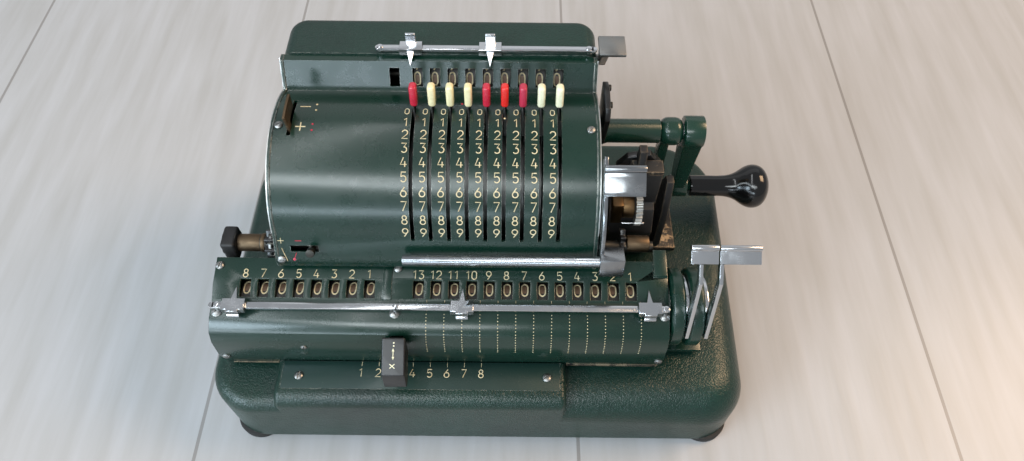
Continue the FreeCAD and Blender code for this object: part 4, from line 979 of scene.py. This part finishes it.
# numeral wheels: cream figures wrapped round each rim, brown inside the nought
def figureBand(name, x, y, z, radius, facing, tall, height, weight):
    # figure d stands d tenths of a turn before the nought, which faces the window and is the tallest
    def wrapped(px, py, digit):
        angle = facing - 36.0 * digit - math.degrees(py * (height if digit else tall) / radius)
        turn = math.radians(angle)
        wide = height if digit else 0.82 * tall
        return x + px * wide, y + radius * math.sin(turn), z + radius * math.cos(turn)

    lines = []
    for digit in range(10):
        for stroke in strokes[str(digit)]:
            fine = []
            for (ax, ay), (bx, by) in zip(stroke, stroke[1:]):
                count = max(1, int(math.hypot(bx - ax, by - ay) / 0.22))
                fine += [(ax + (bx - ax) * i / count, ay + (by - ay) * i / count) for i in range(count)]
            lines.append([wrapped(px, -py, digit) for px, py in fine + [stroke[-1]]])
    return strokePiece(name, lines, weight)


def innerPatch(name, x, y, z, radius, facing, tall):
    # brown ground inside the nought, in short flats round the rim
    flats = []
    for share in (-0.24, -0.12, 0.0, 0.12, 0.24):
        turn = math.radians(facing) - share * tall / radius
        where = (x, y + radius * math.sin(turn), z + radius * math.cos(turn))
        wide = (0.2 if abs(share) < 0.2 else 0.15) * tall
        spot = block("patch", -wide, wide, -0.07 * tall, 0.07 * tall, -0.2, 0.1, 0)
        flats.append(laid(spot, "patch", where, (math.cos(turn), -math.sin(turn))))
        clearAway(spot)
    return joined(name, flats)


dialAt = aroundDrum(57.0, 43.0)  # the check dials' shaft
wheels = {
    # first x, y, z, rim radius, angle of the nought, its height, height of the other figures
    "dial": (settingXs[0] - 0.5, *dialAt, 11.2, -58.6, 6.6, 4.8),
    "register": (resultXs[0], register["y"], register["z"], register["wheel"], 7.0, 7.2, 3.8),
}
bands = {}
for kind, (x, y, z, radius, facing, tall, height) in wheels.items():
    bands[kind] = (figureBand(kind + " figures", x, y, z, radius - 0.1, facing, tall, height, 0.9),
                   innerPatch(kind + " patch", x, y, z, radius, facing, tall))


def addBand(kind, number, moves, body):
    for part, finish in zip(bands[kind], ("cream", "brown")):
        copies = [copied(part, "part", (move, 0, 0)) for move in moves]
        name = "%s.%s.%s" % (kind, "figures" if finish == "cream" else "nought", number)
        finished(joined(name, copies), finish, body)


for k in range(9):
    addBand("dial", k + 1, [-pitch * k], "check_dial_%d" % (k + 1))
for k in range(13):
    addBand("register", k + 1, [-pitch * k], "result_wheel_%d" % (k + 1))
addBand("register", "counter", [x - resultXs[0] for x in counterXs], "counter_wheels")
for band in bands.values():
    clearAway(*band)
print("numeral wheels done")


# floor, lamps and camera
floor = {"size": 6.0, "plank": 217.5, "seam": 2.0, "first": 43.0, "gloss": 0.38}


def makeFloor():
    letGo()
    bpy.ops.mesh.primitive_plane_add(size=floor["size"], location=(0, 0, 0))
    plane = named(bpy.context.object, "floor")
    material, tree, shader = startMaterial("pale planks")
    where = objectPlace(tree)
    parts = addNode(tree, "ShaderNodeSeparateXYZ", {0: where})
    stretch = addNode(tree, "ShaderNodeMapping", {"Vector": where, "Scale": (30.0, 3.0, 1.0)})
    grain = noise(tree, stretch.outputs[0], 3.0, 8.0)
    across = sum2(tree, "SUBTRACT", parts.outputs["X"], floor["first"] / 1000)
    across = sum2(tree, "DIVIDE", across, floor["plank"] / 1000)
    share = sum2(tree, "FRACT", sum2(tree, "ADD", across, 50.0), 0.0)
    seam = sum2(tree, "LESS_THAN", share, floor["seam"] / floor["plank"])
    wood = blendColour(tree, ramp(tree, grain, 0.3, 0.7), tint(179, 179, 181), tint(167, 166, 165))
    tone = blendColour(tree, sum2(tree, "MULTIPLY", seam, 0.6), wood, tint(110, 104, 98))
    tree.links.new(tone, shader.inputs["Base Color"])
    shader.inputs["Roughness"].default_value = floor["gloss"]
    bump(tree, shader, grain, 0.0006, 0.4)
    plane.data.materials.append(material)


lamps = {
    # name: place, point it looks at, width and height in metres, power, colour
    "window": ((-1.5, -1.0, 1.0), (0, 0, 0.05), (1.0, 0.6), 24, (0.70, 0.87, 1.0)),
    "near strip": ((-0.75, -0.75, 1.25), (0, 0, 0.05), (1.9, 0.14), 7, (0.86, 0.95, 1.0)),
    "high strip": ((-0.5, 0.1, 1.6), (0, 0, 0.05), (1.7, 0.1), 4, (0.96, 0.98, 1.0)),
    "low strip": ((-0.9, -1.7, 0.55), (0, 0, 0.05), (2.0, 0.2), 13, (0.74, 0.89, 1.0)),
    "warm lamp": ((1.2, 0.25, 1.2), (0.1, 0, 0), (0.7, 0.7), 20, (1.0, 0.67, 0.40)),
    "front fill": ((-0.3, -1.3, 1.6), (0, -0.3, 0), (1.2, 0.4), 11, (0.92, 0.98, 1.0)),
    "back wall": ((0.0, 1.7, 1.3), (0, 0, 0), (2.6, 1.0), 3, (0.98, 0.99, 1.0)),
}


def makeLamp(name, where, aim, size, power, colour):
    letGo()
    bpy.ops.object.light_add(type="AREA", location=where)
    lamp = bpy.context.object
    lamp.name = name
    lamp.data.shape, lamp.data.size, lamp.data.size_y = "RECTANGLE", *size
    lamp.data.energy, lamp.data.color = power, colour
    lamp.rotation_euler = (Vector(aim) - Vector(where)).to_track_quat("-Z", "Y").to_euler()


room = {"colour": (0.80, 0.84, 0.88, 1), "lighting": 0.36, "seen": 0.5}  # seen: also in reflections


def makeWorld():
    world = bpy.data.worlds.new("room")
    bpy.context.scene.world = world
    world.use_nodes = True
    tree = world.node_tree
    back = tree.nodes["Background"]
    back.inputs["Color"].default_value = room["colour"]
    path = addNode(tree, "ShaderNodeLightPath")
    seen = sum2(tree, "ADD", path.outputs["Is Camera Ray"], path.outputs["Is Glossy Ray"])
    seen = sum2(tree, "ADD", seen, path.outputs["Is Transmission Ray"], clamp=True)
    strength = addNode(tree, "ShaderNodeMix", {2: room["lighting"], 3: room["seen"]}, data_type="FLOAT")
    tree.links.new(seen, strength.inputs[0])
    tree.links.new(strength.outputs[0], back.inputs["Strength"])


view = {"y": -136.9, "z": 419.6, "down": 56.1, "roll": 0.6, "lens": 26.0, "shift": -0.002}


def makeCamera():
    letGo()
    bpy.ops.object.camera_add(location=place(0, view["y"], view["z"]))
    camera = bpy.context.object
    camera.data.sensor_width, camera.data.lens, camera.data.shift_x = 36.0, view["lens"], view["shift"]
    tilt, roll = math.radians(90 - view["down"]), math.radians(view["roll"])
    camera.matrix_world = (Matrix.Translation(camera.location) @ Matrix.Rotation(tilt, 4, "X")
                           @ Matrix.Rotation(roll, 4, "Z"))
    bpy.context.scene.camera = camera


makeFloor()
for name, settings in lamps.items():
    makeLamp(name, *settings)
makeWorld()
makeCamera()
bpy.context.scene.view_settings.view_transform = "Standard"
print("stage ready")
